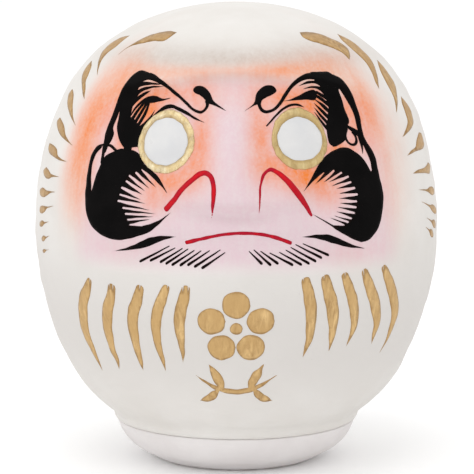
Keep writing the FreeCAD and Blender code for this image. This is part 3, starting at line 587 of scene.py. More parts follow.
def base_material():
    """The same ground on the weight, worn through to grey-brown clay on the resting ring and in the dish."""
    m = Nodes("base_chalk", roughness=0.8, specular=0.22)
    cloud = m.noise(45.0, 4.0, 0.6)
    white = m.mix(m.spread(cloud, 0.35, 0.68), (228, 224, 223), (221, 216, 215))
    clay = m.mix(m.spread(m.noise(160.0, 5.0, 0.65), 0.35, 0.65), (150, 128, 108), (118, 98, 82))
    wear = m.times(m.attribute("worn"), m.spread(m.noise(240.0, 4.0, 0.7), 0.38, 0.52))
    m.colour(m.mix(wear, white, clay))
    m.roughness(m.spread(cloud, 0.3, 0.7, 0.72, 0.88))
    m.bump(m.noise(140.0, 4.0, 0.55), 0.3, 0.0007)
    m.bump(m.noise(1000.0, 2.0, 0.6), 0.15, 0.0001)
    return m.material


def seam_material():
    """The painted paper strip down the back: the ground again, with the strip's fibres."""
    m = Nodes("seam_paper", roughness=0.8, specular=0.22)
    cloud = m.noise(45.0, 4.0, 0.6)
    fibres = m.noise(1.0, 4.0, 0.7, m.scaled(260.0, 260.0, 700.0), 1.2)
    white = m.mix(m.spread(cloud, 0.35, 0.68), (217, 213, 208), (211, 207, 202))
    m.colour(m.mix(m.spread(fibres, 0.5, 0.7, 0.0, 0.35), white, (206, 197, 186)))
    m.roughness(m.spread(cloud, 0.3, 0.7, 0.72, 0.86))
    m.bump(fibres, 0.3, 0.0003)
    return m.material


def brushed_material(name, gloss, clouds, body, edge, bumps):
    """Brushed paint, deeper where the brush left more of it and of another colour along its thinner edge.

    gloss: roughness, specular, lowest and highest roughness; clouds: scale and range of the noise;
    body: its two colours; edge: its colour and reach; bumps: scale, strength.
    """
    m = Nodes(name, roughness=gloss[0], specular=gloss[1])
    cloud = m.noise(clouds[0], 4.0, 0.6)
    middle = m.mix(m.spread(cloud, *clouds[1:]), *body)
    m.colour(m.mix(m.spread(m.attribute("rim"), 0.0, edge[1]), edge[0], middle))
    m.roughness(m.spread(cloud, 0.3, 0.7, *gloss[2:]))
    m.bump(m.noise(bumps[0], 3.0, 0.6), bumps[1], 0.0002)
    return m.material


def gold_material(name, dark, middle, light, metallic=0.35, pimples=0.0002, mottle=85.0):
    """Brushed gold paint: streaks along the brush, darker edges and metal flakes; the darker edges are pooled
    paint on the strokes and painted shade on the eye rings.
    """
    m = Nodes(name, roughness=0.42, metallic=metallic, specular=0.45)
    streak = m.noise(1.0, 4.0, 0.65, m.scaled(520.0, 520.0, 90.0), 0.6)
    pool = m.noise(mottle, 3.0, 0.5)
    body = m.mix(m.spread(streak, 0.32, 0.66), dark, light)
    body = m.mix(m.spread(pool, 0.38, 0.62, 0.15, 0.85), body, middle)
    # Darker towards the edge: pooled paint on the strokes, and painted shade along the edges of the eye rings.
    m.colour(m.mix(m.spread(m.attribute("rim"), 0.0, 0.7, 0.65, 0.0), body, dark))
    m.roughness(m.spread(m.noise(700.0, 2.0, 0.6), 0.3, 0.7, 0.34, 0.55))
    m.bump(streak, 0.35, 0.0002)
    m.bump(m.noise(420.0, 3.0, 0.6), 0.7, pimples)
    return m.material


def eye_material():
    """Smooth thick white paint with a faint cool cast."""
    m = Nodes("eye_white", roughness=0.3, specular=0.45)
    cloud = m.noise(110.0, 3.0, 0.5)
    m.colour(m.mix(m.spread(cloud, 0.35, 0.65), (212, 211, 210), (204, 204, 205)))
    m.roughness(m.spread(cloud, 0.3, 0.7, 0.26, 0.4))
    m.bump(m.noise(210.0, 3.0, 0.5), 0.2, 0.0003)
    return m.material


def glue_material():
    """Dried bone glue."""
    m = Nodes("dried_glue", roughness=0.35, specular=0.5)
    m.colour(m.mix(m.spread(m.noise(120.0), 0.35, 0.65), (205, 180, 130), (176, 148, 98)))
    m.bump(m.noise(200.0), 0.4, 0.0005)
    return m.material


# Each paint: its material and the slot it stands for.
CHALK = chalk_material(), "paper_shell"
BASE_CHALK = base_material(), "base_clay"
SEAM = seam_material(), "seam_paper"
INK = brushed_material(
    "black_ink", gloss=(0.5, 0.04, 0.34, 0.55), clouds=(90.0, 0.4, 0.7), body=((5, 4, 4), (11, 9, 9)),
    edge=((20, 9, 7), 0.6), bumps=(260.0, 0.25)), "black_ink"
RED = brushed_material(
    "red_paint", gloss=(0.45, 0.12, 0.38, 0.55), clouds=(150.0, 0.38, 0.66), body=((176, 8, 28), (208, 16, 24)),
    edge=((170, 10, 38), 0.8), bumps=(320.0, 0.3)), "red_paint"
GOLD = gold_material("gold_paint", (150, 114, 66), (190, 154, 100), (222, 188, 132)), "gold_paint"
# A darker, shaded copy of the same gold for the temple strokes on the body's sides: painted shade.
GOLD_SHADED = gold_material("gold_paint_shaded", (138, 102, 56), (176, 138, 86), (206, 170, 114)), "gold_paint"
# The one gold ring paint in two copies: a paler, lit copy with cream painted highlights for the doll's right
# eye, and a darker, shaded copy for its left eye.
RING_LIT = gold_material(
    "gold_ring_lit", (158, 128, 84), (224, 200, 146), (248, 238, 204), metallic=0.25,
    pimples=0.0018, mottle=330.0), "ring_paint"
RING_SHADED = gold_material(
    "gold_ring_shaded", (156, 128, 78), (194, 166, 110), (214, 194, 142), metallic=0.25,
    pimples=0.0008, mottle=240.0), "ring_paint"
EYE = eye_material(), "eye_white"

# ---------------------------------------------------------------- the body
COLUMNS = 432
DAB_SOFT = 1.15  # how much further than its reach each dab fades
# Soft dabs of airbrushed colour, and of painted shade in the crease under the hood: s, z, reach round the body,
# reach in height, strength.
DABS = {
    "orange": (
        (-55.0, 146.4, 7.0, 10.0, 0.45), (-68.0, 133.4, 6.5, 15.0, 0.72), (-67.0, 117.4, 6.0, 12.0, 0.50),
        (-60.0, 143.4, 6.0, 8.0, 0.45), (-44.0, 153.4, 12.0, 2.6, 0.30), (-26.0, 153.2, 11.0, 2.0, 0.30),
        (-42.0, 140.4, 8.0, 7.0, 0.90), (-32.0, 146.4, 12.0, 4.0, 0.55), (-18.0, 146.4, 5.0, 5.0, 0.35),
        (-14.8, 130.4, 5.0, 11.0, 0.62), (-17.0, 120.4, 6.0, 5.0, 0.45), (-27.0, 115.4, 10.0, 4.5, 0.72),
        (-33.0, 108.4, 7.0, 5.0, 0.42), (25.0, 154.2, 14.0, 2.6, 0.55), (46.0, 153.4, 11.0, 4.4, 0.46),
        (62.0, 140.4, 5.0, 11.0, 0.60), (54.0, 137.4, 4.5, 10.0, 0.70), (37.0, 141.4, 8.0, 6.0, 0.85),
        (24.0, 144.4, 10.0, 4.5, 0.78), (10.2, 131.4, 5.0, 12.0, 0.66), (16.0, 120.9, 8.0, 4.5, 0.60),
        (28.0, 116.9, 10.0, 5.0, 0.95), (37.0, 111.4, 7.5, 6.0, 0.45), (44.0, 125.9, 7.0, 3.0, 0.80),
        (-48.0, 127.4, 6.0, 6.0, 0.60),
    ),
    "pink": (
        (-50.0, 153.4, 12.0, 3.4, 0.16), (0.0, 154.2, 24.0, 1.8, 0.50), (-74.0, 136.4, 6.0, 16.0, 0.55),
        (-75.0, 116.4, 5.0, 14.0, 0.40), (-66.0, 104.4, 6.0, 9.0, 0.35), (64.0, 120.4, 5.0, 16.0, 0.34),
        (66.0, 140.4, 6.0, 12.0, 0.35), (72.0, 130.0, 9.0, 22.0, 0.26), (66.0, 104.4, 6.0, 12.0, 0.16),
        (40.0, 157.4, 22.0, 3.4, 0.20),
        (-44.0, 90.4, 12.0, 5.0, 0.10), (46.0, 88.4, 12.0, 5.0, 0.14), (-10.0, 146.4, 9.0, 6.0, 0.30),
        (10.0, 147.4, 9.0, 6.0, 0.30), (-62.0, 151.4, 7.0, 5.0, 0.28),
    ),
    # Painted shade in the crease under the hood's edge.
    "painted_crease_shade": (
        (0.0, 158.4, 70.0, 4.0, 0.85), (-52.0, 158.9, 14.0, 5.0, 0.34), (46.0, 159.4, 20.0, 5.0, 0.50),
    ),
}


def dabbed(name, s, z):
    """The amount of one airbrushed colour, or of the painted crease shade, at s, z: each dab covers part of
    what is left.
    """
    clear_of_shade = np.ones_like(s)
    for ds, dz, wide, tall, strength in DABS[name]:
        clear_of_shade *= 1.0 - strength * bell((s - ds) / wide / DAB_SOFT) * bell((z - dz) / tall / DAB_SOFT)
    return 1.0 - clear_of_shade


def face_wash(s, z):
    """The lilac-pink wash over the whole face panel."""
    top, bottom, half, soft, strength = 156.4, 80.4, 72.0, 9.0, 0.92
    inside = ease((arched(top, s) - z) / soft) * ease((z - bottom) / soft) * ease((half - np.abs(s)) / 14.0)
    return inside * strength


def body_heights():
    """Heights of the rows of the outer skin: closer together where the hood's edge curves sharply."""
    fine_pace, pace, least_rise = 0.55, 1.12, 0.06
    rows = [COLLAR_TOP + FILLET]
    while rows[-1] < HEIGHT - 0.35:
        _, run, _ = station(rows[-1])
        step = fine_pace if 138.0 < rows[-1] < 160.0 else pace
        rows.append(rows[-1] + max(float(run) * step, least_rise))
    return rows


def build_body():
    """The papier-mache body: open bottom, collar, fillet, skin and the hollow inside, as one closed mesh."""
    s = (np.arange(COLUMNS) / COLUMNS * 2.0 - 1.0) * math.pi * EQUATOR
    angle = s / EQUATOR
    points, heights = [], []

    def collar_ring(radius, z):
        wave = unevenness(s, np.full(COLUMNS, float(z))) * COLLAR_SWELL * MM
        points.append(round_ring(radius * MM + wave, angle, z))
        heights.append(z)

    def skin_ring(z, off):
        points.append(skin(s, np.full(COLUMNS, z), off))
        heights.append(z)

    collar = [(MOUTH_R, JOINT)]
    for inset, up in ((2.2, 0.0), (1.1, 0.12), (0.6, 0.5), (0.22, 1.2), (0.04, 2.0)):
        collar.append((COLLAR_R - inset, JOINT + up))
    fillet_top = (float(station(COLLAR_TOP + FILLET)[0]), COLLAR_TOP + FILLET)
    ledge = 4.0  # how wide the floor inside is round the mouth
    collar_ring(MOUTH_R + ledge, JOINT + WALL)
    collar_ring(MOUTH_R, JOINT + WALL)
    for radius, z in collar:
        collar_ring(radius, z)
    for i in range(1, 8):
        t = i / 8.0
        shares = ((1.0 - t) ** 2, 2.0 * t * (1.0 - t), t * t)
        corners = zip(collar[-1], (COLLAR_R, COLLAR_TOP), fillet_top)
        collar_ring(*(sum(a * b for a, b in zip(shares, values)) for values in corners))
    for z in body_heights():
        skin_ring(z, 0.0)
    outer_rings = len(points)
    inside_top, inside_bottom, inside_rows = 172.4, 22.4, 40
    skin_ring(HEIGHT - 0.5, -WALL)
    for z in np.linspace(inside_top, inside_bottom, inside_rows):
        skin_ring(float(z), -WALL)
    everything = np.concatenate(points + [[[0.0, 0.0, HEIGHT * MM], [0.0, 0.0, (HEIGHT - WALL) * MM]]])
    first_inner = outer_rings * COLUMNS
    inner_rings = len(points) - outer_rings
    faces = lathe(outer_rings, COLUMNS) + lathe(inner_rings, COLUMNS, first_inner)
    faces += fan(first_inner - COLUMNS, COLUMNS, len(everything) - 2)
    faces += fan(first_inner, COLUMNS, len(everything) - 1)
    faces += joined(len(everything) - 2 - COLUMNS, COLUMNS)
    material, slot = CHALK
    obj = make_object("body", everything, faces, material)
    s_all = np.concatenate([s] * len(points) + [np.zeros(2)])
    z_all = np.concatenate([np.full(COLUMNS, float(z)) for z in heights] + [np.full(2, HEIGHT)])
    for name in DABS:
        paint_attribute(obj, name, dabbed(name, s_all, z_all))
    paint_attribute(obj, "lilac", face_wash(s_all, z_all))
    # Painted shade: how much greyer the ground is, from just above the weight up to the face.
    paint_attribute(obj, "painted_body_shade", ease((106.0 - z_all) / 48.0) * ease((z_all - 18.0) / 34.0))
    finish_piece(obj, slot, "paper_shell")


def build_base():
    """The weight: bowl, foot, dish and boss, turned with the slight waver of a dipped coat."""
    columns = COLUMNS // 2
    s = (np.arange(columns) / columns * 2.0 - 1.0) * math.pi * EQUATOR
    top, dish = base_high.z / MM, 2.6
    profile = [(15.0, dish), (18.2, 0.5), (19.2, 0.0), (24.0, 0.0), (29.2, 0.0), (30.3, 0.25)]
    profile += arc_points((30.5, 0.35), (35.5, 3.0), 20.0, 8)
    profile += arc_points((35.5, 3.0), (46.4, JOINT), 18.5, 22)[1:-1]
    profile += [(46.3, JOINT - 0.35), (45.9, JOINT - 0.08), (45.0, JOINT - 0.02), (35.6, JOINT - 0.02)]
    profile += [(35.6, top - 0.6), (35.0, top)]
    rows, worn = [], []
    for radius, z in profile:
        swell = unevenness(s, np.full(columns, float(z))) * BASE_SWELL if 1.0 < z < JOINT - 0.5 else 0.0
        rows.append(round_ring((radius + swell) * MM, s / EQUATOR, z))
        worn.append(np.full(columns, 1.0 if z < 0.2 or radius < 19.0 else max(0.0, 0.55 - z * 0.5)))
    everything = np.concatenate(rows + [[[0.0, 0.0, dish * MM], [0.0, 0.0, top * MM]]])
    faces = lathe(len(profile), columns) + fan(0, columns, len(everything) - 2)
    faces += fan((len(profile) - 1) * columns, columns, len(everything) - 1)
    material, slot = BASE_CHALK
    obj = make_object("weight", everything, faces, material)
    paint_attribute(obj, "worn", np.concatenate(worn + [np.ones(2)]))
    finish_piece(obj, slot, "base_weight")


def arc_points(start, end, radius, count):
    """Points along the arc that turns left from start to end, both included."""
    dx, dz = end[0] - start[0], end[1] - start[1]
    chord = math.hypot(dx, dz)
    inset = math.sqrt(radius**2 - chord**2 / 4.0)
    centre = ((start[0] + end[0]) / 2.0 - dz / chord * inset, (start[1] + end[1]) / 2.0 + dx / chord * inset)
    first = math.atan2(start[1] - centre[1], start[0] - centre[0])
    last = math.atan2(end[1] - centre[1], end[0] - centre[0])
    turns = [first + (last - first) * i / (count - 1) for i in range(count)]
    return [(centre[0] + radius * math.cos(t), centre[1] + radius * math.sin(t)) for t in turns]


build_body()
build_base()

# ---------------------------------------------------------------- eyes
# Side: middle s, z, white's half width and height, ring's half width and height, ring paint.
EYES = {
    "right": (-29.8, 129.1, 8.9, 8.85, 11.6, 11.75, RING_LIT),
    "left": (27.0, 130.1, 9.0, 8.15, 11.25, 11.5, RING_SHADED),
}


EYE_SINK = 0.4  # how far the ring and the white reach below the skin
UNDER_RING = 0.5  # how far the white reaches under its ring
WHITE_EDGE, WHITE_DOME = 0.12, 0.16  # the white's height at its edge and its further rise in the middle
RING_LAP = 0.4  # how far the ink reaches under a ring


def around(s, z, wide, tall, turn):
    """The s, z reached by going wide and tall true millimetres from s, z in the direction turn."""
    radius, run, _ = (float(v) for v in station(z))
    return (s + wide * np.cos(turn) * EQUATOR / radius, z + tall * np.sin(turn) * run)


def disc(s, z, wide, tall):
    """A round outline in true millimetres."""
    turns = np.arange(13) / 12.0 * 2.0 * math.pi
    across, up = around(s, z, wide, tall, turns)
    return [[(float(a), float(b)) for a, b in zip(across, up)]]


def waver(turn, size, lobes):
    """The uneven edge of thick paint put on by hand."""
    out = np.zeros_like(turn)
    for count in lobes:
        out = out + np.sin(count * turn + rng.uniform(0, FULL_TURN)) * rng.uniform(0.5, 1.0)
    return out * size / len(lobes)


def build_eye(side):
    """The raised gold ring and the blank white inside it."""
    s, z, white_wide, white_tall, ring_wide, ring_tall, (material, slot) = EYES[side]
    columns = 144
    turn = np.arange(columns) / columns * 2.0 * math.pi
    inner, outer = waver(turn, 0.50, (2, 3, 5, 9, 14)), waver(turn, 0.50, (3, 4, 7, 11, 17, 23))
    crest = waver(turn, 0.16, (4, 9, 15, 22))
    rows, rim = [], []
    # Each row's last number is the ring's rim value: lower values darken the gold, as painted shade along both
    # edges of the ring, widest on its inner side.
    for share, lift, clear_of_shade in (
        (0.0, -EYE_SINK, 0), (0.0, 0.16, 0), (0.12, 0.36, 0.15), (0.35, 0.5, 0.6), (0.62, 0.52, 1),
        (0.86, 0.38, 0.9), (1.0, 0.14, 0.3), (1.0, -EYE_SINK, 0),
    ):
        wide = (white_wide + inner) * (1 - share) + (ring_wide + outer) * share
        tall = (white_tall + inner) * (1 - share) + (ring_tall + outer) * share
        across, up = around(s, z, wide, tall, turn)
        rows.append(skin(across, up, lift + (crest if lift > 0.3 else 0.0)))
        rim.append(np.full(columns, float(clear_of_shade)))
    faces = lathe(len(rows), columns) + joined((len(rows) - 1) * columns, columns)
    ring = make_object(f"eye_ring_{side}_paint", np.concatenate(rows), faces, material)
    paint_attribute(ring, "rim", np.concatenate(rim))
    finish_piece(ring, slot, f"eye_ring_{side}")
    white_wide, white_tall = white_wide + UNDER_RING, white_tall + UNDER_RING
    rows = [skin(*around(s, z, white_wide, white_tall, turn), -EYE_SINK)]
    for share in np.linspace(1.0, 0.12, 9):
        across, up = around(s, z, white_wide * share, white_tall * share, turn)
        rows.append(skin(across, up, WHITE_EDGE + WHITE_DOME * (1.0 - share**2)))
    count = len(rows) * columns
    faces = lathe(len(rows), columns) + fan(count - columns, columns, count) + fan(0, columns, count + 1)
    rows += [[skin(s, z, WHITE_EDGE + WHITE_DOME)], [skin(s, z, -EYE_SINK)]]
    material, slot = EYE
    white = make_object(f"eye_white_{side}_paint", np.concatenate(rows), faces, material)
    finish_piece(white, slot, f"eye_white_{side}")


RING_CUTS = {}
for side, (s, z, _, _, wide, tall, _) in EYES.items():
    RING_CUTS[side] = disc(s, z, wide - RING_LAP, tall - RING_LAP)
for side in EYES:
    build_eye(side)

# ---------------------------------------------------------------- eyebrows: cranes
right_brow_mass = closed(
    [(-44.4, 153.2), (-49.8, 153.6), (-52.0, 152.7), (-54.1, 150.9), (-55.5, 148.3), (-56.7, 145.5),
     (-57.3, 142.9)], [(-57.2, 140.9)],
    [(-54.6, 138.9), (-54.2, 136.2), (-53.9, 133.6), (-52.8, 131.1), (-51.4, 128.9), (-49.7, 127.0)],
    [(-48.7, 126.1)], [(-48.3, 124.9)], [(-45.3, 124.9)], [(-45.0, 126.3)], [(-41.5, 126.8), (-41.2, 130.2)],
    [(-41.0, 133.4), (-45.4, 134.9)], [(-48.9, 136.8), (-49.2, 140.2), (-49.3, 143.7), (-48.1, 146.4)],
    [(-45.2, 150.0), (-42.5, 150.7)], [(-39.4, 150.4)], [(-39.4, 152.3)],
)
right_brow_arch = stroke(
    (-43.0, 151.9, 3.0), (-39.4, 151.3, 2.4), (-35.6, 149.9, 1.9), (-32.6, 148.2, 1.5), (-29.3, 146.3, 1.3),
    (-26.0, 144.6, 1.1), (-22.5, 142.6, 1.0), (-19.7, 140.7, 1.0), (-17.1, 139.8, 1.0), (-15.4, 139.7, 1.0),
    (-13.9, 140.6, 1.0), (-13.1, 141.9, 1.2), (-13.4, 143.4, 1.5),
)
right_brow_head = closed(
    [(-4.4, 140.2), (-8.0, 142.2), (-10.7, 143.8), (-12.2, 146.1), (-14.2, 147.7), (-17.0, 148.7),
     (-19.6, 148.4), (-20.5, 147.3), (-19.4, 146.2), (-17.0, 145.5), (-14.7, 144.2)],
    [(-13.5, 142.7), (-11.6, 142.4), (-8.0, 141.4)],
)
right_brow_wing = closed(
    [(-49.5, 136.5), (-48.4, 139.9), (-46.7, 142.2), (-43.7, 144.2), (-41.0, 144.8), (-37.9, 144.7),
     (-34.8, 144.0)], [(-30.7, 144.3), (-33.7, 143.4), (-37.3, 142.7)],
    [(-41.0, 142.2), (-41.3, 139.6), (-42.5, 136.2)], [(-43.7, 133.9), (-46.0, 134.8)],
)
right_brow_strap = stroke(
    (-56.0, 141.6, 2.5), (-56.1, 138.4, 2.3), (-56.5, 135.4, 2.3), (-56.8, 132.9, 2.5), (-56.4, 130.8, 3.6),
    (-56.4, 128.9, 3.2), (-56.8, 126.7, 2.2), (-57.0, 124.4, 1.4),
)
right_brow_hairs = strokes(
    ((-47.5, 148.9, 2.6), (-44.0, 149.3, 1.7), (-41.2, 149.4, 1.2), (-38.4, 149.3, 0.8),
     (-35.5, 149.2, 0.0)),
    ((-49.6, 144.6, 2.2), (-48.4, 145.6, 1.6), (-45.3, 147.1, 1.3), (-40.6, 148.1, 0.9),
     (-34.7, 148.4, 0.0)),
    ((-50.5, 141.2, 2.4), (-49.2, 142.6, 1.9), (-46.6, 144.5, 1.4), (-43.9, 145.9, 0.9),
     (-41.5, 146.7, 0.0)),
    ((-43.0, 133.4, 1.6), (-40.8, 135.3, 1.3), (-39.5, 136.7, 0.9), (-38.6, 137.9, 0.7),
     (-37.6, 139.9, 0.0)),
)
right_brow_gaps = strokes(
    ((-45.0, 142.3, 0.0), (-47.1, 139.8, 0.55), (-48.6, 137.2, 0.5)),
    ((-43.4, 142.1, 0.0), (-45.2, 139.4, 0.55), (-46.7, 136.4, 0.5)),
    ((-42.0, 142.0, 0.0), (-43.3, 138.8, 0.55), (-45.0, 135.2, 0.5)),
)
right_eyelid = stroke(
    (-38.9, 136.6, 0.4), (-36.3, 138.8, 0.9), (-34.2, 140.2, 1.4), (-31.8, 141.2, 1.6), (-29.0, 141.4, 1.4),
    (-26.5, 140.8, 1.3), (-21.8, 139.2, 1.1), (-18.2, 137.6, 0.8), (-13.7, 136.1, 0.0),
)
right_brow = [right_brow_mass, right_brow_arch, right_brow_head, right_brow_wing, right_brow_strap]
film("eyebrow_right", right_brow + right_brow_hairs + [right_eyelid], INK, thick=0.2, fill=0.7,
     cuts=[RING_CUTS["right"]] + right_brow_gaps)

left_brow_mass = closed(
    [(37.1, 150.4), (41.3, 147.8), (43.0, 145.5), (43.6, 143.3), (43.9, 140.4), (42.4, 138.0), (41.4, 135.8)],
    [(40.0, 134.0), (40.2, 132.8), (40.0, 129.9), (40.3, 128.0)],
    [(42.0, 126.8), (43.5, 126.9), (46.1, 127.9), (48.1, 128.9)],
    [(48.7, 129.9), (50.6, 133.9), (51.9, 135.6), (51.4, 139.5), (51.2, 143.4)], [(49.6, 146.6)],
    [(50.8, 150.6), (46.7, 153.0), (42.2, 153.4)], [(36.5, 153.4)],
)
left_brow_arch = stroke(
    (40.0, 152.0, 2.9), (36.6, 152.0, 3.2), (33.3, 151.9, 2.5), (30.8, 151.2, 2.1), (28.4, 150.0, 1.8),
    (25.8, 147.9, 1.4), (23.0, 145.5, 1.3), (20.4, 143.0, 1.2), (17.8, 141.0, 1.1), (15.3, 140.0, 1.1),
    (13.0, 139.7, 1.1), (11.2, 140.6, 1.2), (10.4, 142.2, 1.4), (10.6, 143.6, 1.6),
)
left_brow_head = closed(
    [(3.8, 140.1), (7.1, 142.0), (8.4, 143.2), (9.4, 145.9), (11.8, 147.9), (15.1, 149.0), (18.1, 148.6),
     (19.2, 147.1), (17.1, 145.8), (13.9, 144.7), (11.8, 143.6)], [(11.1, 142.1), (9.1, 142.2), (6.5, 141.3)],
)
left_brow_wing = closed(
    [(22.0, 143.4), (25.0, 143.9), (29.1, 145.1), (32.4, 146.1), (36.4, 147.0), (38.1, 146.5), (39.0, 145.4),
     (38.4, 144.0)], [(37.1, 143.4), (32.4, 143.7), (27.9, 143.6)],
)
left_brow_strap = stroke(
    (47.4, 150.8, 4.0), (50.6, 149.3, 4.4), (53.3, 146.5, 3.7), (55.0, 143.5, 3.0), (55.9, 140.5, 2.5),
    (56.2, 137.3, 2.3), (56.0, 134.4, 2.0), (55.8, 132.1, 1.9), (55.8, 129.6, 2.0), (56.8, 126.4, 2.1),
    (57.7, 123.8, 1.9), (58.2, 121.4, 1.8),
)
left_brow_loop = stroke(
    (49.8, 132.9, 1.2), (48.6, 130.4, 1.0), (49.0, 128.4, 0.9), (50.3, 127.3, 0.9), (51.8, 127.2, 0.9),
    (52.9, 128.2, 0.9), (53.1, 129.9, 0.9), (52.2, 131.6, 0.9),
)
left_brow_links = strokes(
    ((50.8, 133.6, 1.3), (53.0, 132.1, 1.8), (55.2, 130.7, 2.4)),
    ((55.0, 130.4, 1.8), (54.9, 127.9, 1.3), (54.7, 125.8, 0.7), (54.3, 123.8, 0.0)),
)
left_brow_hairs = strokes(
    ((42.6, 148.0, 3.0), (41.0, 148.9, 2.4), (38.4, 149.7, 1.5), (35.8, 149.9, 1.2),
     (33.3, 149.7, 1.0), (29.7, 148.5, 0.0)),
    ((45.2, 144.7, 2.6), (43.6, 145.8, 2.1), (42.0, 146.7, 1.6), (40.3, 147.3, 1.3),
     (38.5, 147.8, 1.1), (35.5, 148.0, 0.8), (32.1, 147.4, 0.0)),
    ((46.0, 142.9, 1.7), (44.0, 143.9, 1.6), (41.2, 145.1, 1.2), (38.4, 146.2, 1.0)),
    ((46.2, 140.4, 1.8), (44.4, 141.6, 1.7), (41.6, 143.3, 1.4), (38.4, 145.0, 1.0)),
    ((45.4, 137.7, 1.7), (43.7, 139.2, 1.6), (41.0, 141.5, 1.4), (37.2, 143.8, 0.0)),
    ((44.2, 135.6, 1.6), (42.6, 137.1, 1.5), (39.9, 139.6, 1.3), (36.6, 142.5, 0.0)),
    ((43.0, 133.5, 1.5), (41.5, 135.1, 1.4), (38.9, 137.8, 1.2), (36.1, 141.0, 0.0)),
    ((41.9, 131.8, 1.3), (40.4, 133.5, 1.2), (37.9, 136.4, 1.0), (35.9, 139.3, 0.0)),
)
left_eyelid = stroke(
    (13.0, 134.9, 0.5), (16.9, 138.0, 0.7), (20.7, 140.5, 0.8), (24.0, 141.8, 0.9), (27.0, 142.1, 0.9),
    (29.0, 141.8, 0.8), (31.2, 141.1, 0.0),
)
left_brow = [left_brow_mass, left_brow_arch, left_brow_head, left_brow_wing, left_brow_strap, left_brow_loop]
left_brow_group = left_brow + left_brow_links + left_brow_hairs
film("eyebrow_left", left_brow_group + [left_eyelid], INK, thick=0.2, fill=0.7, cuts=[RING_CUTS["left"]])

# ---------------------------------------------------------------- beards: turtles
right_gaps = [
    (-39.4, 119.1), (-42.1, 117.8), (-44.8, 116.6), (-45.7, 114.6), (-47.1, 112.2), (-47.3, 109.7),
    (-47.6, 107.4), (-45.2, 105.0), (-44.0, 102.9), (-43.0, 100.8), (-42.1, 98.8),
]
right_tips = [
    (-32.2, 112.9), (-35.0, 112.4), (-36.7, 111.3), (-37.5, 110.0), (-38.2, 108.2), (-35.8, 106.9),
    (-33.8, 104.7), (-31.5, 103.5), (-32.3, 102.4), (-33.5, 101.4),
]
right_beard = closed(
    [(-49.6, 125.8), (-52.3, 124.9), (-56.1, 122.8), (-57.4, 120.0), (-58.6, 116.8)],
    [(-60.1, 110.0), (-61.1, 115.1), (-61.4, 119.0), (-60.6, 123.3)], [(-58.6, 125.6)],
    [(-57.9, 127.3), (-61.0, 126.1), (-62.7, 123.2), (-63.1, 118.9), (-63.1, 110.4), (-61.5, 102.6),
     (-59.0, 98.0), (-54.4, 94.5), (-47.7, 93.0), (-39.8, 94.6), (-32.9, 97.3)],
    [(-25.1, 104.2), (-30.0, 101.1)], [(-36.8, 98.7)], *comb(right_gaps[::-1], right_tips[::-1]),
    [(-39.4, 119.1), (-36.4, 117.7), (-33.3, 115.8), (-30.4, 113.8)],
    [(-26.8, 111.2), (-29.4, 114.5), (-31.5, 116.7), (-33.9, 118.3), (-38.6, 121.2), (-41.2, 124.2),
     (-45.2, 125.6)],
)
right_beard_straps = strokes(
    ((-57.6, 127.2, 1.1), (-57.3, 123.9, 1.2), (-57.0, 120.4, 1.2)),
    ((-57.4, 126.8, 1.0), (-54.9, 126.7, 1.0), (-51.6, 124.9, 1.0)),
)
film("beard_right", [right_beard] + right_beard_straps, INK, cuts=[RING_CUTS["right"]])

left_gaps = [
    (35.8, 118.1), (40.6, 118.5), (43.9, 117.6), (46.6, 116.1), (47.3, 114.1), (48.5, 112.0), (49.2, 109.6),
    (48.5, 107.1), (48.1, 105.0), (47.2, 102.9), (45.8, 101.0), (44.4, 99.7), (42.7, 98.6),
]
left_tips = [
    (31.4, 113.9), (35.3, 114.5), (37.5, 114.4), (38.7, 113.0), (40.4, 111.9), (41.5, 110.2), (41.1, 108.5),
    (41.3, 106.8), (40.2, 105.4), (39.6, 103.9), (38.6, 102.4), (36.8, 101.8),
]
left_beard = closed(
    [(25.9, 111.8), (29.1, 115.2), (34.2, 121.2), (37.6, 123.7), (41.8, 125.5), (45.5, 126.3), (48.9, 126.0),
     (53.3, 122.9)], [(56.7, 117.3)], [(57.2, 117.8), (56.9, 120.8)], [(55.8, 125.7)], [(56.4, 127.3)],
    [(58.0, 127.0), (59.3, 123.6), (60.3, 115.4), (60.3, 106.5), (57.4, 96.8), (53.4, 92.6)],
    [(50.5, 92.0), (48.2, 92.8), (42.2, 95.7), (35.2, 100.0)], [(29.6, 103.4), (34.0, 101.2)], [(38.3, 98.9)],
    *comb(left_gaps[::-1], left_tips[::-1]), [(35.8, 118.1), (31.0, 115.3)],
)
film("beard_left", [left_beard], INK, cuts=[RING_CUTS["left"]])

# ---------------------------------------------------------------- nostril lines, mouth, moustache, whiskers
film("nostril_line_right", [stroke(
    (-27.1, 105.3, 2.1), (-23.3, 109.1, 2.0), (-20.0, 113.2, 1.9), (-16.6, 116.4, 1.9), (-13.8, 118.4, 1.9),
    (-11.6, 118.8, 1.9), (-9.4, 117.6, 1.8), (-8.4, 115.0, 1.7), (-8.1, 111.3, 1.6), (-8.5, 107.3, 1.2),
    (-9.3, 102.7, 0.0),
)], RED)
film("nostril_line_left", [stroke(
    (8.6, 103.9, 0.0), (8.5, 109.3, 0.6), (9.0, 115.0, 0.8), (10.4, 118.3, 1.1), (12.9, 119.9, 1.3),
    (15.9, 118.8, 1.7), (19.4, 115.8, 2.2), (22.6, 111.9, 2.4), (26.4, 107.3, 2.0), (29.2, 103.0, 1.0),
)], RED)
film("mouth_line", [stroke(
    (-18.9, 93.6, 1.5), (-11.8, 95.4, 1.2), (-4.6, 96.9, 1.1), (2.5, 97.4, 1.2), (9.7, 96.8, 1.2),
    (15.6, 95.3, 1.4), (20.9, 93.3, 1.3),
)], RED)
film("moustache_right", [stroke(
    (-49.8, 88.7, 0.0), (-43.5, 90.0, 1.0), (-38.0, 91.6, 2.3), (-33.5, 93.3, 2.8), (-29.0, 94.7, 1.8),
    (-23.0, 95.6, 0.0),
)], INK)
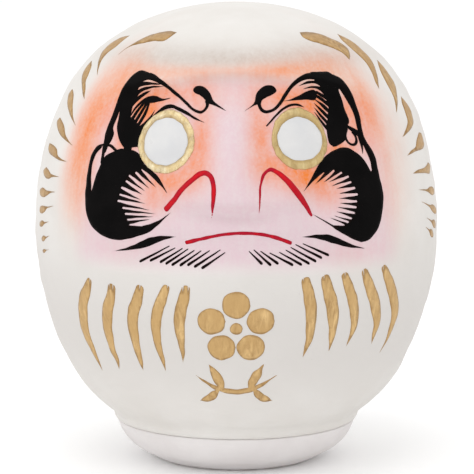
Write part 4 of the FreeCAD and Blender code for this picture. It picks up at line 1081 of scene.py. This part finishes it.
film("moustache_left", [stroke(
    (25.5, 95.3, 0.0), (31.0, 95.2, 1.3), (36.0, 94.4, 2.5), (40.5, 92.9, 2.3), (45.5, 91.1, 1.4),
    (51.9, 89.6, 0.0),
)], INK)


def whiskers(ends):
    """Short chin hairs, thin above and blunt below."""
    return [stroke((*top, 0.35), (*bottom, 1.05), cap=0.2) for top, bottom in ends]


film("chin_whiskers_right", whiskers([
    ((-25.8, 92.0), (-37.1, 86.1)), ((-23.5, 91.4), (-32.9, 86.6)), ((-20.6, 91.3), (-28.6, 86.4)),
    ((-18.4, 91.2), (-26.2, 86.0)), ((-15.9, 90.8), (-23.7, 85.7)), ((-13.3, 90.7), (-20.5, 85.7)),
    ((-10.0, 90.9), (-17.6, 85.9)), ((-6.0, 91.2), (-15.0, 85.4)), ((-4.2, 90.3), (-12.2, 85.0)),
]), INK, wobble=0.03)
film("chin_whiskers_left", whiskers([
    ((4.9, 90.7), (9.2, 86.6)), ((6.7, 91.2), (12.4, 86.1)), ((9.2, 90.7), (15.2, 86.5)),
    ((12.7, 90.0), (20.7, 85.8)), ((16.4, 90.1), (24.1, 85.8)), ((19.0, 90.8), (27.2, 86.0)),
    ((20.9, 91.7), (30.1, 86.6)), ((22.9, 92.6), (32.8, 87.6)), ((25.9, 92.8), (36.0, 88.3)),
]), INK, wobble=0.03)


# ---------------------------------------------------------------- gold strokes
film("chest_strokes_right", strokes(
    ((-60.3, 77.1, 2.3), (-62.3, 73.6, 4.2), (-65.7, 68.5, 5.2), (-67.6, 62.5, 5.2), (-68.6, 56.8, 4.6),
     (-68.0, 51.4, 3.6), (-66.9, 47.2, 2.2), (-65.9, 41.4, 0.0)),
    ((-49.1, 75.8, 3.4), (-50.2, 71.8, 4.2), (-52.5, 66.8, 4.9), (-54.1, 61.5, 4.7), (-54.6, 56.3, 4.0),
     (-54.4, 51.1, 2.9), (-53.9, 46.6, 1.8), (-54.5, 43.3, 0.0)),
    ((-36.5, 76.4, 3.2), (-38.1, 71.9, 4.3), (-40.3, 67.3, 4.6), (-41.5, 62.2, 4.5), (-41.6, 56.7, 3.7),
     (-41.4, 51.8, 2.8), (-41.2, 47.5, 1.7), (-41.1, 44.2, 0.0)),
    ((-25.9, 77.4, 2.7), (-27.6, 73.6, 3.8), (-29.8, 68.8, 4.2), (-31.3, 63.0, 4.0), (-31.6, 58.1, 3.3),
     (-31.2, 53.0, 2.4), (-30.6, 49.1, 1.6), (-30.1, 45.1, 0.0)),
    ((-18.4, 77.3, 3.1), (-19.2, 74.0, 4.0), (-20.7, 69.3, 4.4), (-21.7, 64.5, 4.2), (-21.7, 60.3, 3.5),
     (-21.6, 56.5, 2.5), (-21.5, 52.6, 1.5), (-21.9, 48.8, 0.0)),
), GOLD, wobble=0.09, cuts=forks(
    (-59.6, 78.6, 3.4), (-50.0, 77.5, 2.6), (-48.2, 77.4, 3.4), (-36.3, 78.0, 2.6), (-25.2, 78.9, 2.2),
    (-17.4, 79.2, 3.8), (-19.4, 78.3, 2.6)))
film("chest_strokes_left", strokes(
    ((25.7, 79.9, 3.4), (27.0, 75.3, 4.2), (28.2, 70.6, 4.6), (28.9, 65.9, 4.2), (29.1, 61.2, 3.6),
     (28.9, 57.3, 2.6), (28.1, 54.1, 1.5), (27.3, 50.6, 0.0)),
    ((33.4, 80.4, 3.4), (35.0, 75.5, 4.6), (37.1, 70.0, 5.0), (38.3, 65.2, 4.7), (38.7, 61.3, 3.4),
     (38.7, 57.3, 2.3), (38.5, 52.4, 0.0)),
    ((41.5, 80.7, 3.0), (44.0, 75.6, 4.0), (46.7, 69.9, 4.3), (48.1, 65.1, 3.9), (48.5, 61.2, 2.9),
     (47.8, 57.7, 1.7), (46.6, 53.4, 0.0)),
    ((50.5, 81.3, 3.0), (53.3, 76.2, 4.3), (56.9, 70.4, 4.9), (59.4, 65.1, 4.6), (60.6, 60.6, 3.3),
     (60.6, 57.0, 2.2), (60.5, 52.8, 0.0)),
    ((60.4, 81.8, 2.8), (63.7, 77.0, 4.2), (67.7, 71.1, 4.8), (70.2, 66.1, 4.7), (71.4, 61.2, 3.9),
     (70.9, 56.9, 2.6), (70.0, 53.0, 1.3), (68.1, 48.3, 0.0)),
), GOLD, wobble=0.09, cuts=forks(
    (24.6, 81.8, 2.4), (32.6, 82.2, 2.6), (41.3, 82.4, 2.4), (49.6, 83.3, 4.4), (51.3, 83.4, 2.2),
    (59.4, 84.0, 4.0), (60.9, 83.9, 2.2)))

film("temple_strokes_right", [
    closed(
        [(-41.3, 166.8), (-47.6, 167.1), (-56.4, 166.4), (-64.0, 165.2), (-68.1, 163.3), (-71.7, 160.9)],
        [(-74.6, 158.2), (-72.0, 160.3), (-69.0, 161.5), (-61.6, 162.6), (-53.4, 163.7), (-44.0, 164.2)],
    ),
    closed(
        [(-86.2, 164.6), (-96.2, 163.4), (-100.0, 161.4), (-98.0, 158.9), (-91.7, 156.1), (-85.6, 153.3)],
        [(-80.1, 150.6), (-84.1, 153.4), (-87.4, 156.0), (-88.6, 158.5), (-86.5, 160.9)],
    ),
    closed(
        [(-100.1, 154.8), (-100.5, 153.3), (-99.0, 151.1), (-95.1, 148.7), (-89.6, 146.4)],
        [(-79.8, 142.0), (-83.3, 145.3), (-88.1, 148.1), (-90.1, 150.5), (-93.3, 152.9)],
    ),
    closed(
        [(-99.5, 144.4), (-100.6, 142.6), (-97.7, 140.7), (-91.2, 137.5), (-86.0, 135.3)],
        [(-78.8, 132.5), (-83.1, 135.0), (-86.6, 137.8), (-91.1, 141.7), (-95.2, 143.5)],
    ),
    closed(
        [(-99.4, 133.9), (-102.0, 132.4), (-99.9, 131.1), (-93.5, 128.9), (-88.3, 127.5)],
        [(-76.8, 125.3), (-81.6, 126.9), (-85.3, 128.5), (-89.4, 131.2), (-94.4, 133.0)],
    ),
    closed(
        [(-101.8, 124.0), (-102.2, 122.4), (-98.5, 120.8), (-91.8, 119.9), (-85.6, 119.2)],
        [(-78.2, 119.2), (-84.0, 119.9), (-87.7, 120.9), (-89.4, 122.5), (-94.4, 123.7)],
    ),
    closed(
        [(-98.3, 115.3), (-101.6, 113.6), (-99.4, 112.3), (-94.8, 111.4), (-91.6, 111.6), (-88.4, 112.5)],
        [(-82.0, 113.3), (-86.7, 113.4), (-90.2, 113.6), (-93.2, 114.5)],
    ),
    closed(
        [(-98.1, 107.6), (-102.0, 106.1), (-101.7, 104.8), (-95.7, 104.2), (-92.8, 104.9), (-88.3, 106.6)],
        [(-84.0, 107.5), (-88.6, 107.3), (-92.7, 107.1), (-95.6, 107.5)],
    ),
    closed(
        [(-97.0, 100.9), (-100.6, 99.8), (-100.7, 98.3), (-96.3, 98.0), (-93.2, 99.1), (-91.0, 100.4)],
        [(-83.7, 102.3), (-90.3, 101.3), (-94.1, 101.1)],
    ),
    drop(-98.9, 93.6, -87.9, 95.9, 2.3),
    drop(-96.4, 88.2, -87.3, 90.6, 2.0),
    drop(-95.8, 83.6, -88.5, 85.3, 1.4),
], GOLD_SHADED, wobble=0.05)
film("temple_strokes_left", [
    closed(
        [(44.9, 166.9), (53.0, 166.8), (61.4, 165.9), (67.1, 164.1), (71.2, 162.5), (72.7, 160.4),
         (69.4, 158.0)],
        [(66.3, 156.7), (64.4, 159.0), (60.3, 160.9), (53.1, 162.8), (46.1, 164.4), (43.8, 165.6)],
    ),
    closed(
        [(81.9, 165.3), (86.7, 162.4), (88.2, 160.1), (88.9, 157.2), (85.8, 153.3), (81.2, 149.5)],
        [(76.7, 146.0), (77.4, 148.9), (79.9, 153.6), (79.5, 157.1), (77.3, 159.7), (76.2, 162.8)],
    ),
    closed(
        [(96.6, 155.4), (97.2, 153.5), (97.0, 150.1), (96.5, 146.5), (91.2, 142.7), (87.1, 139.9)],
        [(82.3, 137.0), (85.5, 141.0), (87.0, 144.5), (87.7, 149.1), (90.3, 152.6)],
    ),
    closed(
        [(96.2, 142.1), (98.6, 139.1), (99.7, 135.8), (96.3, 132.4), (90.6, 130.3), (85.6, 129.1)],
        [(80.5, 128.1), (86.6, 131.1), (90.1, 133.4), (91.6, 137.0), (92.3, 139.5)],
    ),
    closed(
        [(99.8, 128.2), (104.0, 127.0), (104.6, 123.8), (100.4, 122.2), (90.8, 122.1)],
        [(81.1, 121.3), (85.5, 122.7), (91.2, 123.7), (94.1, 125.8)],
    ),
    closed(
        [(104.0, 116.5), (108.5, 114.7), (103.9, 112.5), (94.5, 113.5)],
        [(82.4, 114.5), (87.8, 115.3), (95.7, 115.3), (100.4, 115.8)],
    ),
    drop(107.4, 105.2, 86.0, 108.2, 3.2),
    drop(106.6, 97.6, 86.9, 103.5, 3.0),
    drop(105.6, 92.2, 91.6, 96.9, 2.9),
    drop(99.9, 89.4, 90.3, 93.6, 2.8),
], GOLD_SHADED, wobble=0.05)

# ---------------------------------------------------------------- chest emblem: a plum blossom over a sprig
EMBLEM_Z = 62.4
HEART_R, PETAL_R, PETALS_OUT, PETALS = 2.3, 5.1, 9.3, 5
emblem = [disc(0.0, EMBLEM_Z, HEART_R, HEART_R)]
for i in range(PETALS):
    turn = math.radians(360.0 / PETALS * i)
    petal = around(0.0, EMBLEM_Z, PETALS_OUT, PETALS_OUT, math.pi / 2.0 - turn)
    emblem.append(disc(*petal, PETAL_R, PETAL_R))
leaves = strokes(
    ((5.6, 38.0, 0.6), (6.9, 41.2, 3.2), (8.6, 44.4, 3.4), (11.2, 48.4, 0.0)),
    ((7.4, 38.8, 0.6), (10.0, 36.2, 3.0), (12.8, 34.4, 3.0), (16.6, 33.4, 0.0)),
)
stem = stroke((-17.0, 43.9, 0.0), (-9.0, 39.3, 1.8), (0.0, 37.6, 2.4), (9.0, 39.3, 1.8), (17.0, 43.9, 0.0))
emblem += [stem] + leaves + [mirrored(leaf) for leaf in leaves]
film("chest_emblem", emblem, GOLD, wobble=0.16)

# ---------------------------------------------------------------- back seam and glue
def build_seam():
    """The pasted paper strip that closes the slit in the back, with torn edges."""
    low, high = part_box("back_seam_strip")
    half, bottom, top = high.x / MM, low.z / MM, high.z / MM
    middle = math.pi * EQUATOR
    count = 90
    right, left = [], []
    for i in range(count):
        z = bottom + (top - bottom) * i / (count - 1)
        radius = float(station(z)[0])
        reach = min(half, 7.5) * EQUATOR / radius
        right.append((middle - reach + rng.uniform(-0.18, 0.18), z))
        left.append((middle + reach + rng.uniform(-0.18, 0.18), z))
    loop = right + left[::-1]
    film("back_seam_strip", [[loop + loop[:1]]], SEAM, thick=0.16, wobble=0.25, step=2.0, fill=2.2)


build_seam()
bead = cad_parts["base_glue_bead"]
bead.data.materials.clear()
bead.data.materials.append(glue_material())

# ---------------------------------------------------------------- floor, light, camera
floor_material = Nodes("floor", roughness=0.6, specular=0.1)
floor_material.colour(floor_material.mix(
    floor_material.spread(floor_material.noise(2.0), 0.3, 0.7), (254, 254, 254), (252, 252, 252)))
floor_material.shader.inputs["Emission Color"].default_value = (1.0, 1.0, 1.0, 1.0)
floor_material.shader.inputs["Emission Strength"].default_value = 0.05
corners = [(-4, -4, 0), (4, -4, 0), (4, 4, 0), (-4, 4, 0)]
floor = make_object("floor", corners, [(0, 1, 2, 3)], floor_material.material)

world = bpy.data.worlds.new("studio")
bpy.context.scene.world = world
world.use_nodes = True
backdrop = world.node_tree.nodes["Background"]
backdrop.inputs["Color"].default_value = (1.0, 1.0, 1.0, 1.0)
backdrop.inputs["Strength"].default_value = 1.0


def softbox(name, place, target, size, power):
    """A large square lamp aimed at a point."""
    data = bpy.data.lights.new(name, "AREA")
    data.shape = "SQUARE"
    data.size = size
    data.energy = power
    lamp = bpy.data.objects.new(name, data)
    lamp.location = place
    lamp.rotation_euler = (Vector(target) - Vector(place)).to_track_quat("-Z", "Y").to_euler()
    bpy.context.scene.collection.objects.link(lamp)


MIDDLE = (0.0, 0.0, 0.09)
softbox("top_light", (-0.1, -0.25, 1.0), MIDDLE, size=0.7, power=2.1)
softbox("front_left_light", (-0.9, -0.9, 0.5), MIDDLE, size=0.7, power=1.1)

camera_data = bpy.data.cameras.new("camera")
camera_data.lens = 196.0
camera_data.sensor_width = 36.0
camera_data.clip_start = 0.05
camera = bpy.data.objects.new("camera", camera_data)
AIM = Vector((0.0003, 0.0, 0.0855))
ELEVATION = math.radians(8.0)
DISTANCE = 1.0
camera.location = AIM + Vector((0.0, -math.cos(ELEVATION), math.sin(ELEVATION))) * DISTANCE
camera.rotation_euler = (AIM - camera.location).to_track_quat("-Z", "Y").to_euler()
bpy.context.scene.collection.objects.link(camera)
bpy.context.scene.camera = camera
bpy.context.scene.view_settings.view_transform = "Standard"
